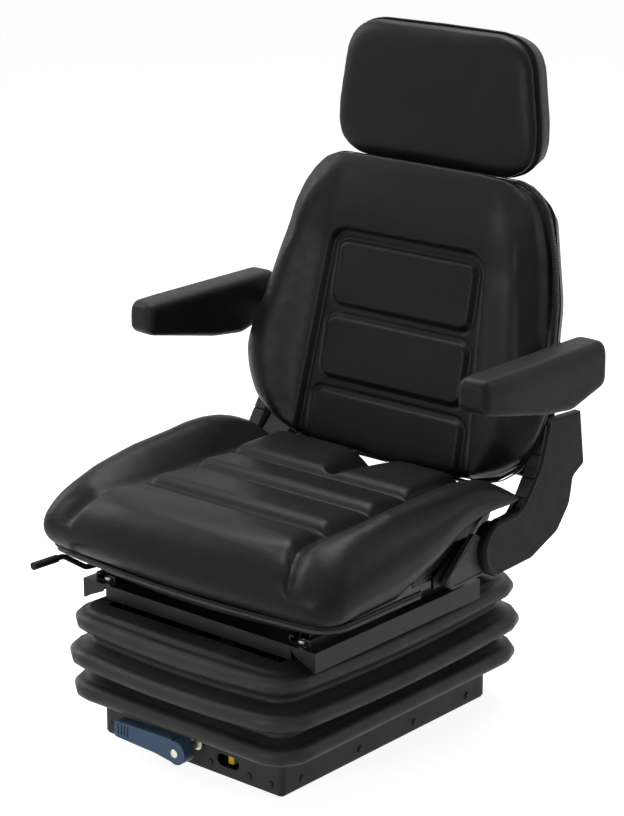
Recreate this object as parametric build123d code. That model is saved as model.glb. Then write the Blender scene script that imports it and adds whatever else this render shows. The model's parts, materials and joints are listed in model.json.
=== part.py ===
"""Tractor suspension seat: low mechanical scissor suspension, slide rails, cushion,
reclining back with headrest, and folding armrests.  Millimetres, +Z up.

The origin is the middle of the base's underside.  The occupant faces -Y and the
occupant's left is +X.  The suspension stands at the top of its travel, unloaded.
"""
import math
import os

from build123d import *

# Driving dimensions: base and suspension
BASE_W = 332.0
BASE_D = 450.0
BASE_CORNER_R = 8.0
SHEET = 3.0
TRAY_H = 42.0
TRAVEL = 80.0
ARM_L = BASE_D - 130.0
ARM_T = 6.0
ARM_H = 30.0
REAR_PIVOT_Y = BASE_D / 2 - 95.0
ROLLER_R = 11.0
ROLLER_W = 12.0
ROLLER_PLAY = 2.0
AXLE_R = 6.0
PIVOT_PLAY = 2.0
RUN_FIT = 0.05
ARM_INNER_X = BASE_W / 2 - 58.0
ARM_GAP = 4.0
TUBE_R = 11.0

# Driving dimensions: bellows
RUBBER = 2.5
FOLD_OUT = (44.0, 49.0, 40.0)
FOLD_PITCH = 50.0
FOLD_FIRST_Z = 73.0
FOLD_HALF_H = 13.0
SKIRT_TOP = 47.0
VALLEY_OUT = 17.0
DECK_OUT = 20.0
LIP_CORNER_R = 12.0
LIP_PLAY = 0.4

# Driving dimensions: holes and rivets of the base
MOUNT_SPACING_X = 160.0
MOUNT_SPACING_Y = 340.0
MOUNT_HOLE_R = 5.5
SKIRT_PLAY = 0.3
SPINDLE_HOLE_R = 8.0
WINDOW_W = 40.0
WINDOW_H = 18.0
RIVET_X = (14.0 - BASE_W / 2, 36.0, 106.0, BASE_W / 2 - 21.0)
RIVET_SIDE_Y = (43.0 - BASE_D / 2, -60.0, 60.0, BASE_D / 2 - 43.0)
RIVET_Z = 14.0
RIVET_SHANK_R = 2.0

# Driving dimensions: upper frame and slide rails
FRAME_W = BASE_W + 94.0
FRAME_FRONT_Y = 13.0 - BASE_D / 2
FRAME_SIDE_END_Y = BASE_D / 2 - 82.0
FRAME_TOP_Z = 216.0
FLANGE_H = 28.0
SIDE_BOX_W = 44.0
RAIL_X = FRAME_W / 2 - 35.0
RAIL_W = 36.0
RAIL_H = 11.0
RAIL_SHEET = 2.5
RAIL_Y0 = FRAME_FRONT_Y + 9.0
RAIL_L = BASE_D - 120.0
RAIL_PLAY = 0.4
RAIL_TOP_Z = 240.5
LATCH_Y = -30.0
NOTCH_PITCH = 15.0
FRAME_BOLT_R = 4.0
FRAME_BOLT_Y = (FRAME_FRONT_Y + 16.0, REAR_PIVOT_Y - 2.0)
CROSS_FACE_H = 21.0

# Driving dimensions: damper
DAMPER_X = 24.0 - ARM_INNER_X
DAMPER_LOW = (REAR_PIVOT_Y - 30.0, 24.0)
DAMPER_HIGH = (-BASE_D / 3, 190.0)
DAMPER_R = 13.0
DAMPER_ROD_R = 5.0
DAMPER_EYE_R = 10.0
DAMPER_EYE_T = 14.0
DAMPER_PLAY = 4.2
DAMPER_BODY_L = 168.0
PIN_R = 5.0

# Driving dimensions: weight adjuster
SPINDLE_X = 14.0
SPINDLE_Z = 36.0
SPINDLE_R = 6.0
SPINDLE_END_Y = -BASE_D / 2 - 48.0
CARRIAGE_Y = BASE_D / 2 - 133.0
BEARING_L = 15.0
SPRING_R = 13.0
SPRING_WIRE_R = 2.2
SPRING_OFFSET = ARM_INNER_X - 46.0
SPRING_TURNS = 13
SPRING_Z = 19.0
HANDLE_L = 118.0
HANDLE_H = 23.0
HANDLE_T = 20.0
HUB_R = 17.0
INDICATOR_X = SPINDLE_X + SPRING_OFFSET - 7.0
INDICATOR_BAR_Z = 42.0
INDICATOR_BEND_Y = 28.0 - BASE_D / 2
INDICATOR_Z = 24.0

# Driving dimensions: seat
CUSHION_W = FRAME_W + 78.0
CUSHION_FRONT_Y = -243.0
CUSHION_BOW = 22.0
CUSHION_REAR_Y = 152.0
CUSHION_BOTTOM_Z = 262.5
CUSHION_TOP_Z = 350.0
BOLSTER_TOP_Z = 384.0
BOLSTER_STATIONS = (
    (CUSHION_FRONT_Y + 7, CUSHION_W / 2 - 56, 24.0, 0.3),
    (CUSHION_FRONT_Y + 29, CUSHION_W / 2 - 46, 36.0, 0.62),
    (CUSHION_FRONT_Y + 83, CUSHION_W / 2 - 40, 40.0, 0.8),
    (CUSHION_FRONT_Y + 163, CUSHION_W / 2 - 41, 42.0, 0.93),
    (CUSHION_REAR_Y - 122, CUSHION_W / 2 - 41, 42.0, 1.0),
    (CUSHION_REAR_Y - 4, CUSHION_W / 2 - 44, 40.0, 0.84),
)
CHANNEL_PLACES = (-133.0, -38.0, 40.0)
PAD_HALF = CUSHION_W / 2 - 102.0
PAN_SHEET = 2.0
RECLINE_Y = 132.0
RECLINE_Z = 279.0
RECLINER_R = 30.0
PIN_RECLINE_R = 8.0
SIDE_NOTCH_X = CUSHION_W / 2 - 27.0
SIDE_NOTCH_Y = -30.0
SIDE_NOTCH_Z = RECLINE_Z + 53.0
LEVER_X = -RAIL_X - 25.0
LEVER_Z = 233.0
LEVER_TIP = (LEVER_X - 14.0, CUSHION_FRONT_Y - 57.0, 258.0)
LEVER_BEND = (LEVER_X - 13.0, CUSHION_FRONT_Y - 3.0, 257.0)
LEVER_PIVOT_Y = 20.0
PLATE_T = 5.0
PLATE_X = CUSHION_W / 2 - 23.0
COVER_X = CUSHION_W / 2 - 4.0
COVER_T = 12.0
COVER_WALL = 3.0
LOBE_R = 40.0
COVER_BOSSES = ((225.0, 300.0), (258.0, 390.0))
STRIP_POINTS = ((188.0, 334.0), (194.0, 342.0), (214.0, 372.0), (223.6, 404.0), (230.0, 429.0))
STRIP_T = 4.0
STRIP_PLAY = 0.3

# Driving dimensions: backrest, headrest and armrests
LEAN = 12.0
BACK_Y = 183.7
BACK_Z = 334.0
BACK_H = 427.0
BACK_HALF = CUSHION_W / 2 + 3.0
BACK_THICK = 35.0
BACK_BOLSTER = 24.0
BACK_SHELL_DEPTH = 44.0
BACK_RADII = (50, 45, 90, 200, 46, 34)
SHELL_TAPER = 25.0
SHELL_WALL = 4.0
BACK_TUBE_R = 11.0
FRAME_T = -BACK_THICK - 18.0
FRAME_X = 170.0
FRAME_CROSS_W = 285.0
FRAME_LOW_W = 32.0
PAD_ROWS = ((20.0, 88.0, 138.0), (114.0, 204.0, 130.0), (226.0, 312.0, 124.0))
SHAFT_ROOM_R = 16.0
HEAD_LIFT = 4.5904
HEAD_BEHIND = 20.0044
HEAD_LEAN = 3.0
HEAD_H = 201.0
HEAD_W_LOW = 362.0
HEAD_W_TOP = 302.0
HEAD_PAD = 16.0
HEAD_SHELL = 42.0
HEAD_TAPER = 13.0
POST_X = 70.0
POST_R = 6.0
POST_ABOVE = 59.0
ARMREST_INNER_X = CUSHION_W / 2 + 23.0
ARMREST_OUTER_X = ARMREST_INNER_X + 51.0
ARMREST_TOP_Z = 556.0
ARMREST_FRONT_Y = -4.0
ARMREST_REAR_Y = 276.0
ARM_PIVOT_Y = 262.0
ARM_PIVOT_Z = 515.0
ARM_PIVOT_R = 8.0
ARMREST_WALL = 2.0

# Worked-out places
CHANNEL_IN_H = 2 * (ROLLER_R + ROLLER_PLAY)
LOW_PIVOT_Z = 2 * SHEET + CHANNEL_IN_H / 2
HIGH_PIVOT_Z = FRAME_TOP_Z - 2 * SHEET - CHANNEL_IN_H / 2
ARM_RISE = HIGH_PIVOT_Z - LOW_PIVOT_Z
ARM_ANGLE = math.asin(ARM_RISE / ARM_L)
ARM_ANGLE_LOW = math.asin((ARM_RISE - TRAVEL) / ARM_L)
FRONT_AXLE_Y = REAR_PIVOT_Y - ARM_L * math.cos(ARM_ANGLE)
FRONT_AXLE_LOW_Y = REAR_PIVOT_Y - ARM_L * math.cos(ARM_ANGLE_LOW)
CROSS_Y = (REAR_PIVOT_Y + FRONT_AXLE_Y) / 2
CROSS_Z = (LOW_PIVOT_Z + HIGH_PIVOT_Z) / 2
ARM_OUTER_X = ARM_INNER_X + ARM_T + ARM_GAP
ROLLER_X = ARM_OUTER_X + ARM_T + 3.0
CHANNEL_X = ROLLER_X - 2.0
CHANNEL_W = ROLLER_W + 4.0 + SHEET
LIP_W = BASE_W + 40.0
LIP_D = 2 * (-FRAME_FRONT_Y - SHEET - LIP_PLAY)
LIP_TOP_Z = FRAME_TOP_Z - SHEET - LIP_PLAY
TRAY_W = BASE_W - 2 * (RUBBER + SKIRT_PLAY)
TRAY_D = BASE_D - 2 * (RUBBER + SKIRT_PLAY)
TRAY_FRONT_IN_Y = -TRAY_D / 2 + SHEET
CHANNEL_FRONT_Y = FRONT_AXLE_LOW_Y - ROLLER_R - 20.0
CHANNEL_REAR_Y = FRONT_AXLE_Y + ROLLER_R + 20.0
STOP_GAP = 0.4
ARM_PLATE_X = PLATE_X + PLATE_T + 0.4
SIDES = (("left", 1), ("right", -1))

BACK = Plane(
    origin=(0, BACK_Y, BACK_Z),
    x_dir=(1, 0, 0),
    z_dir=(0, -math.cos(math.radians(LEAN)), math.sin(math.radians(LEAN))),
)
HEAD = Plane(
    origin=BACK.from_local_coords((0, BACK_H + HEAD_LIFT, -HEAD_BEHIND)),
    x_dir=(1, 0, 0),
    z_dir=(0, -math.cos(math.radians(HEAD_LEAN)), math.sin(math.radians(HEAD_LEAN))),
)


OUT_OF_BACK = Axis(BACK.origin, BACK.z_dir)
OUT_OF_HEAD = Axis(HEAD.origin, HEAD.z_dir)


# Small helpers
def block(x0, x1, y0, y1, z0, z1):
    """A box between two corners."""
    size = Box(abs(x1 - x0), abs(y1 - y0), abs(z1 - z0))
    return Pos((x0 + x1) / 2, (y0 + y1) / 2, (z0 + z1) / 2) * size


def rod_x(y, z, radius, x0, x1):
    """A round bar along X."""
    return Pos((x0 + x1) / 2, y, z) * Rot(0, 90, 0) * Cylinder(radius, abs(x1 - x0))


def rod_y(x, z, radius, y0, y1):
    """A round bar along Y."""
    return Pos(x, (y0 + y1) / 2, z) * Rot(90, 0, 0) * Cylinder(radius, abs(y1 - y0))


def rod_z(x, y, radius, z0, z1):
    """A round bar along Z."""
    return Pos(x, y, (z0 + z1) / 2) * Cylinder(radius, abs(z1 - z0))


def side_cut(sketch, x0, x1):
    """A sketch drawn in (y, z) as a plate from x0 to x1."""
    low, high = min(x0, x1), max(x0, x1)
    return extrude(Plane.YZ.offset(low) * sketch, high - low)


def front_cut(sketch, y0, y1):
    """A sketch drawn in (x, z) as a plate from y0 to y1."""
    low, high = min(y0, y1), max(y0, y1)
    return extrude(Plane.XZ.offset(-high) * sketch, high - low)


def rounded_polygon(points, radii):
    """A closed outline with one corner radius for each point."""
    face = make_face(Polyline(*points, close=True))
    for point, radius in zip(points, radii):
        if radius > 0:
            corner = min(face.vertices(), key=lambda v: (Vector(*v) - Vector(*point)).length)
            face = fillet(corner, radius)
    return face


def mirrored(half):
    """Points of a symmetric outline from its +X half, bottom to top."""
    return list(half) + [(-x, y) for x, y in reversed(half)]


def both_sides(solid):
    """A solid and its mirror image across the YZ plane."""
    return [solid, mirror(solid, Plane.YZ)]


PARTS = {}


def add(name, *solids):
    """Keep a node: one solid, or a group of like solids."""
    flat = []
    for item in solids:
        flat.extend(item if isinstance(item, list) else [item])
    shapes = [s for item in flat for s in item.solids()]
    PARTS[name] = shapes[0] if len(shapes) == 1 else Compound(children=shapes)


# Base tray and what is fixed to it
def front_windows(y0, y1):
    """Openings for the spindle and for the weight indicator."""
    window = Pos(INDICATOR_X, INDICATOR_Z) * SlotOverall(WINDOW_W, WINDOW_H)
    return rod_y(SPINDLE_X, SPINDLE_Z, SPINDLE_HOLE_R, y0, y1) + front_cut(window, y0, y1)


def base_tray():
    """Pressed tray with turned-up walls, fixing holes and lightening holes."""
    outer = extrude(RectangleRounded(TRAY_W, TRAY_D, BASE_CORNER_R - RUBBER), TRAY_H)
    inner_size = (TRAY_W - 2 * SHEET, TRAY_D - 2 * SHEET, BASE_CORNER_R - RUBBER - SHEET)
    inner = Pos(0, 0, SHEET) * extrude(RectangleRounded(*inner_size), TRAY_H)
    tray = outer - inner
    grid = GridLocations(MOUNT_SPACING_X, MOUNT_SPACING_Y, 2, 2)
    tray -= [loc * Cylinder(MOUNT_HOLE_R, 4 * SHEET) for loc in grid]
    slots = [Pos(0, y) * SlotOverall(84, 44) for y in (-110, 0, 64)]
    tray -= [Pos(0, 0, -SHEET) * extrude(slot, 3 * SHEET) for slot in slots]
    tray -= front_windows(-BASE_D / 2 - SHEET, -BASE_D / 2 + 4 * SHEET)
    tray -= rivet_holes()
    for side in (-1, 1):
        tray += pivot_bracket(side, SHEET, LOW_PIVOT_Z)
    return tray


def channel(side, low_z, y0, y1):
    """Roller channel, open towards the middle of the seat."""
    x0, x1 = CHANNEL_X, CHANNEL_X + CHANNEL_W
    outer = block(x0, x1, y0, y1, low_z - SHEET, low_z + CHANNEL_IN_H + SHEET)
    inner = block(x0 - 1, x1 - SHEET, y0 - 1, y1 + 1, low_z, low_z + CHANNEL_IN_H)
    solid = outer - inner
    return solid if side > 0 else mirror(solid, Plane.YZ)


def channel_stops():
    """Rubber end stops for the lower rollers, in the channels' ends."""
    z0 = LOW_PIVOT_Z - CHANNEL_IN_H / 2
    z1 = LOW_PIVOT_Z + CHANNEL_IN_H / 2
    front = (CHANNEL_FRONT_Y, FRONT_AXLE_LOW_Y - ROLLER_R - STOP_GAP)
    rear = (FRONT_AXLE_Y + ROLLER_R + STOP_GAP, CHANNEL_REAR_Y)
    x0, x1 = CHANNEL_X + 1, CHANNEL_X + CHANNEL_W - SHEET
    solids = []
    for y0, y1 in (front, rear):
        solids += both_sides(block(x0, x1, y0, y1, z0, z1))
    return solids


def pivot_bracket(side, floor_z, pivot_z):
    """Upright ear with a foot that carries a rear pivot."""
    x0 = ROLLER_X
    x1 = ROLLER_X + SHEET + 1
    top = pivot_z + 15 if pivot_z > floor_z else pivot_z - 15
    low, high = min(floor_z, top), max(floor_z, top)
    ear = block(x0, x1, REAR_PIVOT_Y - 22, REAR_PIVOT_Y + 22, low, high)
    foot_z = (floor_z, floor_z + SHEET) if pivot_z > floor_z else (floor_z - SHEET, floor_z)
    foot = block(x0, x1 + 14, REAR_PIVOT_Y - 22, REAR_PIVOT_Y + 22, *foot_z)
    solid = ear + foot
    solid -= rod_x(REAR_PIVOT_Y, pivot_z, AXLE_R + RUN_FIT, x0 - 1, x1 + 1)
    return solid if side > 0 else mirror(solid, Plane.YZ)


def rivet_places():
    """Places round the skirt, each with Z pointing outwards."""
    places = [Pos(x, -BASE_D / 2, RIVET_Z) * Rot(90, 0, 0) for x in RIVET_X]
    places += [Pos(x, BASE_D / 2, RIVET_Z) * Rot(-90, 0, 0) for x in RIVET_X]
    places += [Pos(BASE_W / 2, y, RIVET_Z) * Rot(0, 90, 0) for y in RIVET_SIDE_Y]
    places += [Pos(-BASE_W / 2, y, RIVET_Z) * Rot(0, -90, 0) for y in RIVET_SIDE_Y]
    return places


def rivet_holes():
    """Shank holes through the skirt and the tray's walls."""
    return [place * Cylinder(RIVET_SHANK_R + RUN_FIT, 24) for place in rivet_places()]


def bellows_collar(z):
    """Flat deck and upright lip that close the bellows in to the upper frame."""
    deck_size = (BASE_W + 2 * DECK_OUT, BASE_D + 2 * DECK_OUT)
    deck = RectangleRounded(*deck_size, BASE_CORNER_R + DECK_OUT)
    lip = RectangleRounded(LIP_W, LIP_D, LIP_CORNER_R)
    hole = RectangleRounded(LIP_W - 2 * RUBBER, LIP_D - 2 * RUBBER, LIP_CORNER_R - RUBBER)
    ring = extrude(Pos(0, 0, z) * (deck - hole), RUBBER)
    return ring + extrude(Pos(0, 0, z) * (lip - hole), LIP_TOP_Z - z)


def bellows():
    """Moulded rubber skirt with three folds, one wall swept round the base."""
    points = [(0, 2), (0, SKIRT_TOP)]
    radii = [2.0]
    for index, out in enumerate(FOLD_OUT):
        z = FOLD_FIRST_Z + index * FOLD_PITCH
        points += [(out, z - FOLD_HALF_H), (out, z + FOLD_HALF_H)]
        radii += [FOLD_HALF_H - 0.6] * 2
        if index < len(FOLD_OUT) - 1:
            points.append((VALLEY_OUT, z + FOLD_PITCH / 2))
            radii.append(3.0)
    deck_z = FOLD_FIRST_Z + (len(FOLD_OUT) - 1) * FOLD_PITCH + FOLD_HALF_H + RUBBER
    points += [(DECK_OUT, deck_z), (DECK_OUT, deck_z + RUBBER)]
    radii.append(0.8)
    line = FilletPolyline(*points, radius=radii)
    wall = make_face(offset(line, amount=RUBBER / 2, kind=Kind.INTERSECTION))
    middle_r = BASE_CORNER_R - RUBBER / 2
    path = RectangleRounded(BASE_W - RUBBER, BASE_D - RUBBER, middle_r).wire()
    start = path.position_at(0)
    along = path.tangent_at(0)
    outward = Vector(along.Y, -along.X, 0)
    if outward.dot(start) < 0:
        outward = outward * -1
    profile = Plane(origin=start, x_dir=outward, z_dir=outward.cross(Vector(0, 0, 1)))
    body = sweep(profile * wall, path=path)
    body += bellows_collar(deck_z + RUBBER)
    body -= front_windows(-BASE_D / 2 - SHEET, -BASE_D / 2 + 2 * SHEET)
    return body - rivet_holes()


def skirt_rivets():
    """Domed push rivets that hold the skirt to the tray."""
    length = RUBBER + SHEET + 2
    shank = Pos(0, 0, -length / 2 + 0.1) * Cylinder(RIVET_SHANK_R, length)
    head = Pos(0, 0, 0.65) * Cylinder(5.0, 1.2) + shank
    head = fillet(head.edges().sort_by(Axis.Z)[-1], 0.9)
    return [place * head for place in rivet_places()]


# Upper frame and what is fixed to it
def upper_frame():
    """Pressed top plate with side flanges, a recessed front face and a rear flange."""
    top = FRAME_TOP_Z
    half = FRAME_W / 2
    plate = block(-half, half, FRAME_FRONT_Y, FRAME_SIDE_END_Y, top - SHEET, top)
    rear_half = LIP_W / 2 + LIP_PLAY + SHEET
    plate += block(-rear_half, rear_half, FRAME_FRONT_Y, LIP_D / 2 + LIP_PLAY + SHEET, top - SHEET, top)
    for side in (-1, 1):
        outer = side * half
        plate += block(outer, outer - side * SHEET, FRAME_FRONT_Y, FRAME_SIDE_END_Y, top - FLANGE_H, top)
    rear_y = LIP_D / 2 + LIP_PLAY
    plate += block(-rear_half, rear_half, rear_y, rear_y + SHEET, top - CROSS_FACE_H, top)
    front_half = half - SIDE_BOX_W
    face = (FRAME_FRONT_Y, FRAME_FRONT_Y + SHEET)
    plate += block(-front_half, front_half, *face, top - 20, top)
    for side in (-1, 1):
        gusset = [(side * front_half, top), (side * half, top), (side * half, top - FLANGE_H)]
        gusset.append((side * (front_half + 8), top - 12))
        plate += front_cut(make_face(Polyline(*gusset, close=True)), *face)
    holes = [Pos(x, y) * SlotOverall(84, 50) for x in (-56, 56) for y in (-120, -40)]
    plate -= [Pos(0, 0, top - 2 * SHEET) * extrude(hole, 3 * SHEET) for hole in holes]
    ends = (FRAME_FRONT_Y + 8, FRAME_FRONT_Y + 18, top - 2 * SHEET, top + 1)
    plate -= [block(s * RAIL_X + 2, s * RAIL_X + 14, *ends) for s in (-1, 1)]
    plate -= [
        rod_z(s * RAIL_X, y, FRAME_BOLT_R + 0.2, top - 2 * SHEET, top + 1)
        for s in (-1, 1)
        for y in FRAME_BOLT_Y
    ]
    for side in (-1, 1):
        plate += pivot_bracket(side, FRAME_TOP_Z - SHEET, HIGH_PIVOT_Z)
    return plate


def frame_bolts():
    """Bolts that hold the lower slide rails to the upper frame."""
    z = FRAME_TOP_Z + RAIL_SHEET
    head = Cylinder(6.5, 3.6)
    bolt = Pos(0, 0, 1.8) * head + Pos(0, 0, -5) * Cylinder(FRAME_BOLT_R, 10)
    socket = Pos(0, 0, 2.6) * extrude(RegularPolygon(2.6, 6), 2)
    bolt -= socket
    return [Pos(s * RAIL_X, y, z) * bolt for s in (-1, 1) for y in FRAME_BOLT_Y]


def lower_rail(side):
    """Fixed slide rail: a channel whose lips turn in over the slider's feet."""
    half = RAIL_W / 2
    z0, z1 = FRAME_TOP_Z, FRAME_TOP_Z + RAIL_H
    lip = RAIL_SHEET + 5.5
    outline = [(-half, z0), (half, z0), (half, z1), (half - lip, z1), (half - lip, z1 - RAIL_SHEET)]
    outline += [(half - RAIL_SHEET, z1 - RAIL_SHEET), (half - RAIL_SHEET, z0 + RAIL_SHEET)]
    outline += [(-half + RAIL_SHEET, z0 + RAIL_SHEET), (-half + RAIL_SHEET, z1 - RAIL_SHEET)]
    outline += [(-half + lip, z1 - RAIL_SHEET), (-half + lip, z1), (-half, z1)]
    rail = front_cut(make_face(Polyline(*outline, close=True)), RAIL_Y0, RAIL_Y0 + RAIL_L)
    rail = Pos(side * RAIL_X, 0, 0) * rail
    for y in FRAME_BOLT_Y:
        rail -= rod_z(side * RAIL_X, y, FRAME_BOLT_R + 0.2, z0 - 1, z0 + 2 * RAIL_SHEET)
    if side < 0:
        for index in range(9):
            y = LATCH_Y + (index - 4) * NOTCH_PITCH
            x = side * (RAIL_X + half)
            rail -= block(x - side * 7.0, x + side, y - 2.5, y + 2.5, z0 + 3.2, z1 + 1)
    return rail


def upper_rail(side):
    """Sliding rail: a hat section whose feet run under the fixed rail's lips."""
    half = RAIL_W / 2
    leg = half - RAIL_SHEET - 5.5 - RAIL_PLAY
    foot = half - RAIL_SHEET - RAIL_PLAY
    foot_z0 = FRAME_TOP_Z + RAIL_SHEET + RAIL_PLAY
    foot_z1 = FRAME_TOP_Z + RAIL_H - RAIL_SHEET - RAIL_PLAY
    top = RAIL_TOP_Z
    inner = leg - RAIL_SHEET
    right = [(leg, top), (leg, foot_z1), (foot, foot_z1), (foot, foot_z0), (inner, foot_z0)]
    right.append((inner, top - RAIL_SHEET))
    outline = right + [(-x, z) for x, z in reversed(right)]
    rail = front_cut(make_face(Polyline(*outline, close=True)), RAIL_Y0 + 12, RAIL_Y0 + RAIL_L - 12)
    return Pos(side * RAIL_X, 0, 0) * rail


# Scissor arms, pivots and rollers
def arm_bar(x0, x1, low_front):
    """One flat bar of a scissor arm, between its rear pivot and its front axle."""
    if low_front:
        front, rear = (FRONT_AXLE_Y, LOW_PIVOT_Z), (REAR_PIVOT_Y, HIGH_PIVOT_Z)
    else:
        front, rear = (FRONT_AXLE_Y, HIGH_PIVOT_Z), (REAR_PIVOT_Y, LOW_PIVOT_Z)
    middle = ((front[0] + rear[0]) / 2, (front[1] + rear[1]) / 2)
    angle = math.degrees(math.atan2(rear[1] - front[1], rear[0] - front[0]))
    bar = Pos(*middle) * Rot(0, 0, angle) * SlotCenterToCenter(ARM_L, 2 * AXLE_R + 8)
    web = Pos(*middle) * Rot(0, 0, angle) * RectangleRounded(ARM_L * 0.72, ARM_H, 8)
    return side_cut(bar + web, x0, x1)


def scissor_outer():
    """Arm frame that pivots on the base at the rear and rolls under the upper frame."""
    x0, x1 = ARM_OUTER_X, ARM_OUTER_X + ARM_T
    solid = arm_bar(x0, x1, False) + mirror(arm_bar(x0, x1, False), Plane.YZ)
    solid += rod_x(REAR_PIVOT_Y, LOW_PIVOT_Z, TUBE_R, -x0 - 1, x0 + 1)
    for side in (-1, 1):
        solid += rod_x(FRONT_AXLE_Y, HIGH_PIVOT_Z, AXLE_R, side * x0, side * (ROLLER_X + ROLLER_W))
        solid += rod_x(REAR_PIVOT_Y, LOW_PIVOT_Z, AXLE_R, side * x0, side * (ROLLER_X + 6))
        solid += rod_x(CROSS_Y, CROSS_Z, PIN_R, side * (ARM_INNER_X - 3), side * x1)
        solid += rod_x(CROSS_Y, CROSS_Z, PIN_R + 5, side * (ARM_INNER_X + ARM_T + 0.6), side * x0)
    return solid


def scissor_inner():
    """Arm frame that pivots on the upper frame at the rear and rolls on the base."""
    x0, x1 = ARM_INNER_X, ARM_INNER_X + ARM_T
    solid = arm_bar(x0, x1, True) + mirror(arm_bar(x0, x1, True), Plane.YZ)
    solid += rod_x(REAR_PIVOT_Y, HIGH_PIVOT_Z, TUBE_R, -x0 - 1, x0 + 1)
    solid += rod_x(FRONT_AXLE_Y, LOW_PIVOT_Z, AXLE_R, -ROLLER_X - ROLLER_W, ROLLER_X + ROLLER_W)
    for side in (-1, 1):
        solid += rod_x(REAR_PIVOT_Y, HIGH_PIVOT_Z, AXLE_R, side * x0, side * (ROLLER_X + 6))
        solid -= rod_x(CROSS_Y, CROSS_Z, PIN_R + PIVOT_PLAY, side * (x0 - 1), side * (x1 + 1))
    return solid


def rollers(axle_z):
    """A pair of plastic rollers on one axle."""
    wheel = rod_x(FRONT_AXLE_Y, axle_z, ROLLER_R, ROLLER_X, ROLLER_X + ROLLER_W - 0.5)
    wheel = fillet(wheel.edges(), 1.0)
    wheel -= rod_x(FRONT_AXLE_Y, axle_z, AXLE_R + RUN_FIT, ROLLER_X - 1, ROLLER_X + ROLLER_W + 1)
    return both_sides(wheel)


# Damper, from a bracket on the base to a bracket under the upper frame
def damper_plane():
    """Frame at the lower eye whose Z runs along the damper towards the upper eye."""
    dy = DAMPER_HIGH[0] - DAMPER_LOW[0]
    dz = DAMPER_HIGH[1] - DAMPER_LOW[1]
    origin = (DAMPER_X, DAMPER_LOW[0], DAMPER_LOW[1])
    return Plane(origin=origin, x_dir=(1, 0, 0), z_dir=(0, dy, dz)), math.hypot(dy, dz)


def damper_body():
    """Damper tube, open at its upper end, with its lower eye."""
    plane, _ = damper_plane()
    bore = DAMPER_ROD_R + RUN_FIT
    neck_z = DAMPER_EYE_R - 3
    shell = [(0, neck_z), (6, neck_z), (6, 22), (DAMPER_R, 22)]
    shell += [(DAMPER_R, DAMPER_BODY_L), (bore, DAMPER_BODY_L), (bore, 30), (0, 30)]
    tube = revolve(make_face(Plane.XZ * Polyline(*shell, close=True)), Axis.Z)
    eye = Rot(0, 90, 0) * Cylinder(DAMPER_EYE_R, DAMPER_EYE_T)
    solid = tube + eye - Rot(0, 90, 0) * Cylinder(PIN_R + RUN_FIT, DAMPER_EYE_T + 2)
    return plane * solid


def damper_rod():
    """Damper rod with its upper eye, which has a wide rubber-bushed hole."""
    plane, length = damper_plane()
    eye_r = PIN_R + DAMPER_PLAY + 3
    eye = Pos(0, 0, length) * Rot(0, 90, 0) * Cylinder(eye_r, DAMPER_EYE_T)
    rod = Pos(0, 0, length / 2 + 50) * Cylinder(DAMPER_ROD_R, length - 100)
    hole = Pos(0, 0, length) * Rot(0, 90, 0) * Cylinder(PIN_R + DAMPER_PLAY, DAMPER_EYE_T + 2)
    return plane * (eye + rod - hole)


def damper_bracket(low):
    """Fork with a pin that carries one end of the damper."""
    y, z = DAMPER_LOW if low else DAMPER_HIGH
    seat = SHEET if low else FRAME_TOP_Z - SHEET
    tip = z + 9 if low else z - 9
    half = DAMPER_EYE_T / 2 + 1
    z0, z1 = min(seat, tip), max(seat, tip)
    solid = rod_x(y, z, PIN_R, DAMPER_X - half - SHEET, DAMPER_X + half + SHEET)
    for side in (-1, 1):
        x = DAMPER_X + side * half
        solid += block(x, x + side * SHEET, y - 11, y + 11, z0, z1)
    base = (seat, seat + 2) if low else (seat - 2, seat)
    solid += block(DAMPER_X - half, DAMPER_X + half, y - 11, y + 11, *base)
    return solid


# Weight adjuster
def adjuster_spindle():
    """Spindle with a thrust collar behind its bearing."""
    collar_y = TRAY_FRONT_IN_Y + BEARING_L + 0.1
    solid = rod_y(SPINDLE_X, SPINDLE_Z, SPINDLE_R, SPINDLE_END_Y, REAR_PIVOT_Y - TUBE_R - 3)
    solid += rod_y(SPINDLE_X, SPINDLE_Z, SPINDLE_R + 4, collar_y, collar_y + 6)
    rim = solid.edges().filter_by(GeomType.CIRCLE).sort_by(Axis.Y)[0]
    return chamfer(rim, 0.8)


def spindle_bearing():
    """Bearing block behind the tray's front wall."""
    y1 = TRAY_FRONT_IN_Y + BEARING_L
    solid = block(SPINDLE_X - 17, SPINDLE_X + 17, TRAY_FRONT_IN_Y, y1, SHEET, SPINDLE_Z + 14)
    solid = fillet(solid.edges().filter_by(Axis.Y).sort_by(Axis.Z)[-2:], 8)
    return solid - rod_y(SPINDLE_X, SPINDLE_Z, SPINDLE_R + RUN_FIT, TRAY_FRONT_IN_Y - 1, y1 + 1)


def spindle_washer():
    """Washer where the spindle leaves the skirt."""
    y0 = -BASE_D / 2 - 2.2
    ring = rod_y(SPINDLE_X, SPINDLE_Z, SPINDLE_HOLE_R + 1.5, y0, y0 + 2)
    return ring - rod_y(SPINDLE_X, SPINDLE_Z, SPINDLE_R + RUN_FIT, y0 - 1, y0 + 3)


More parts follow.
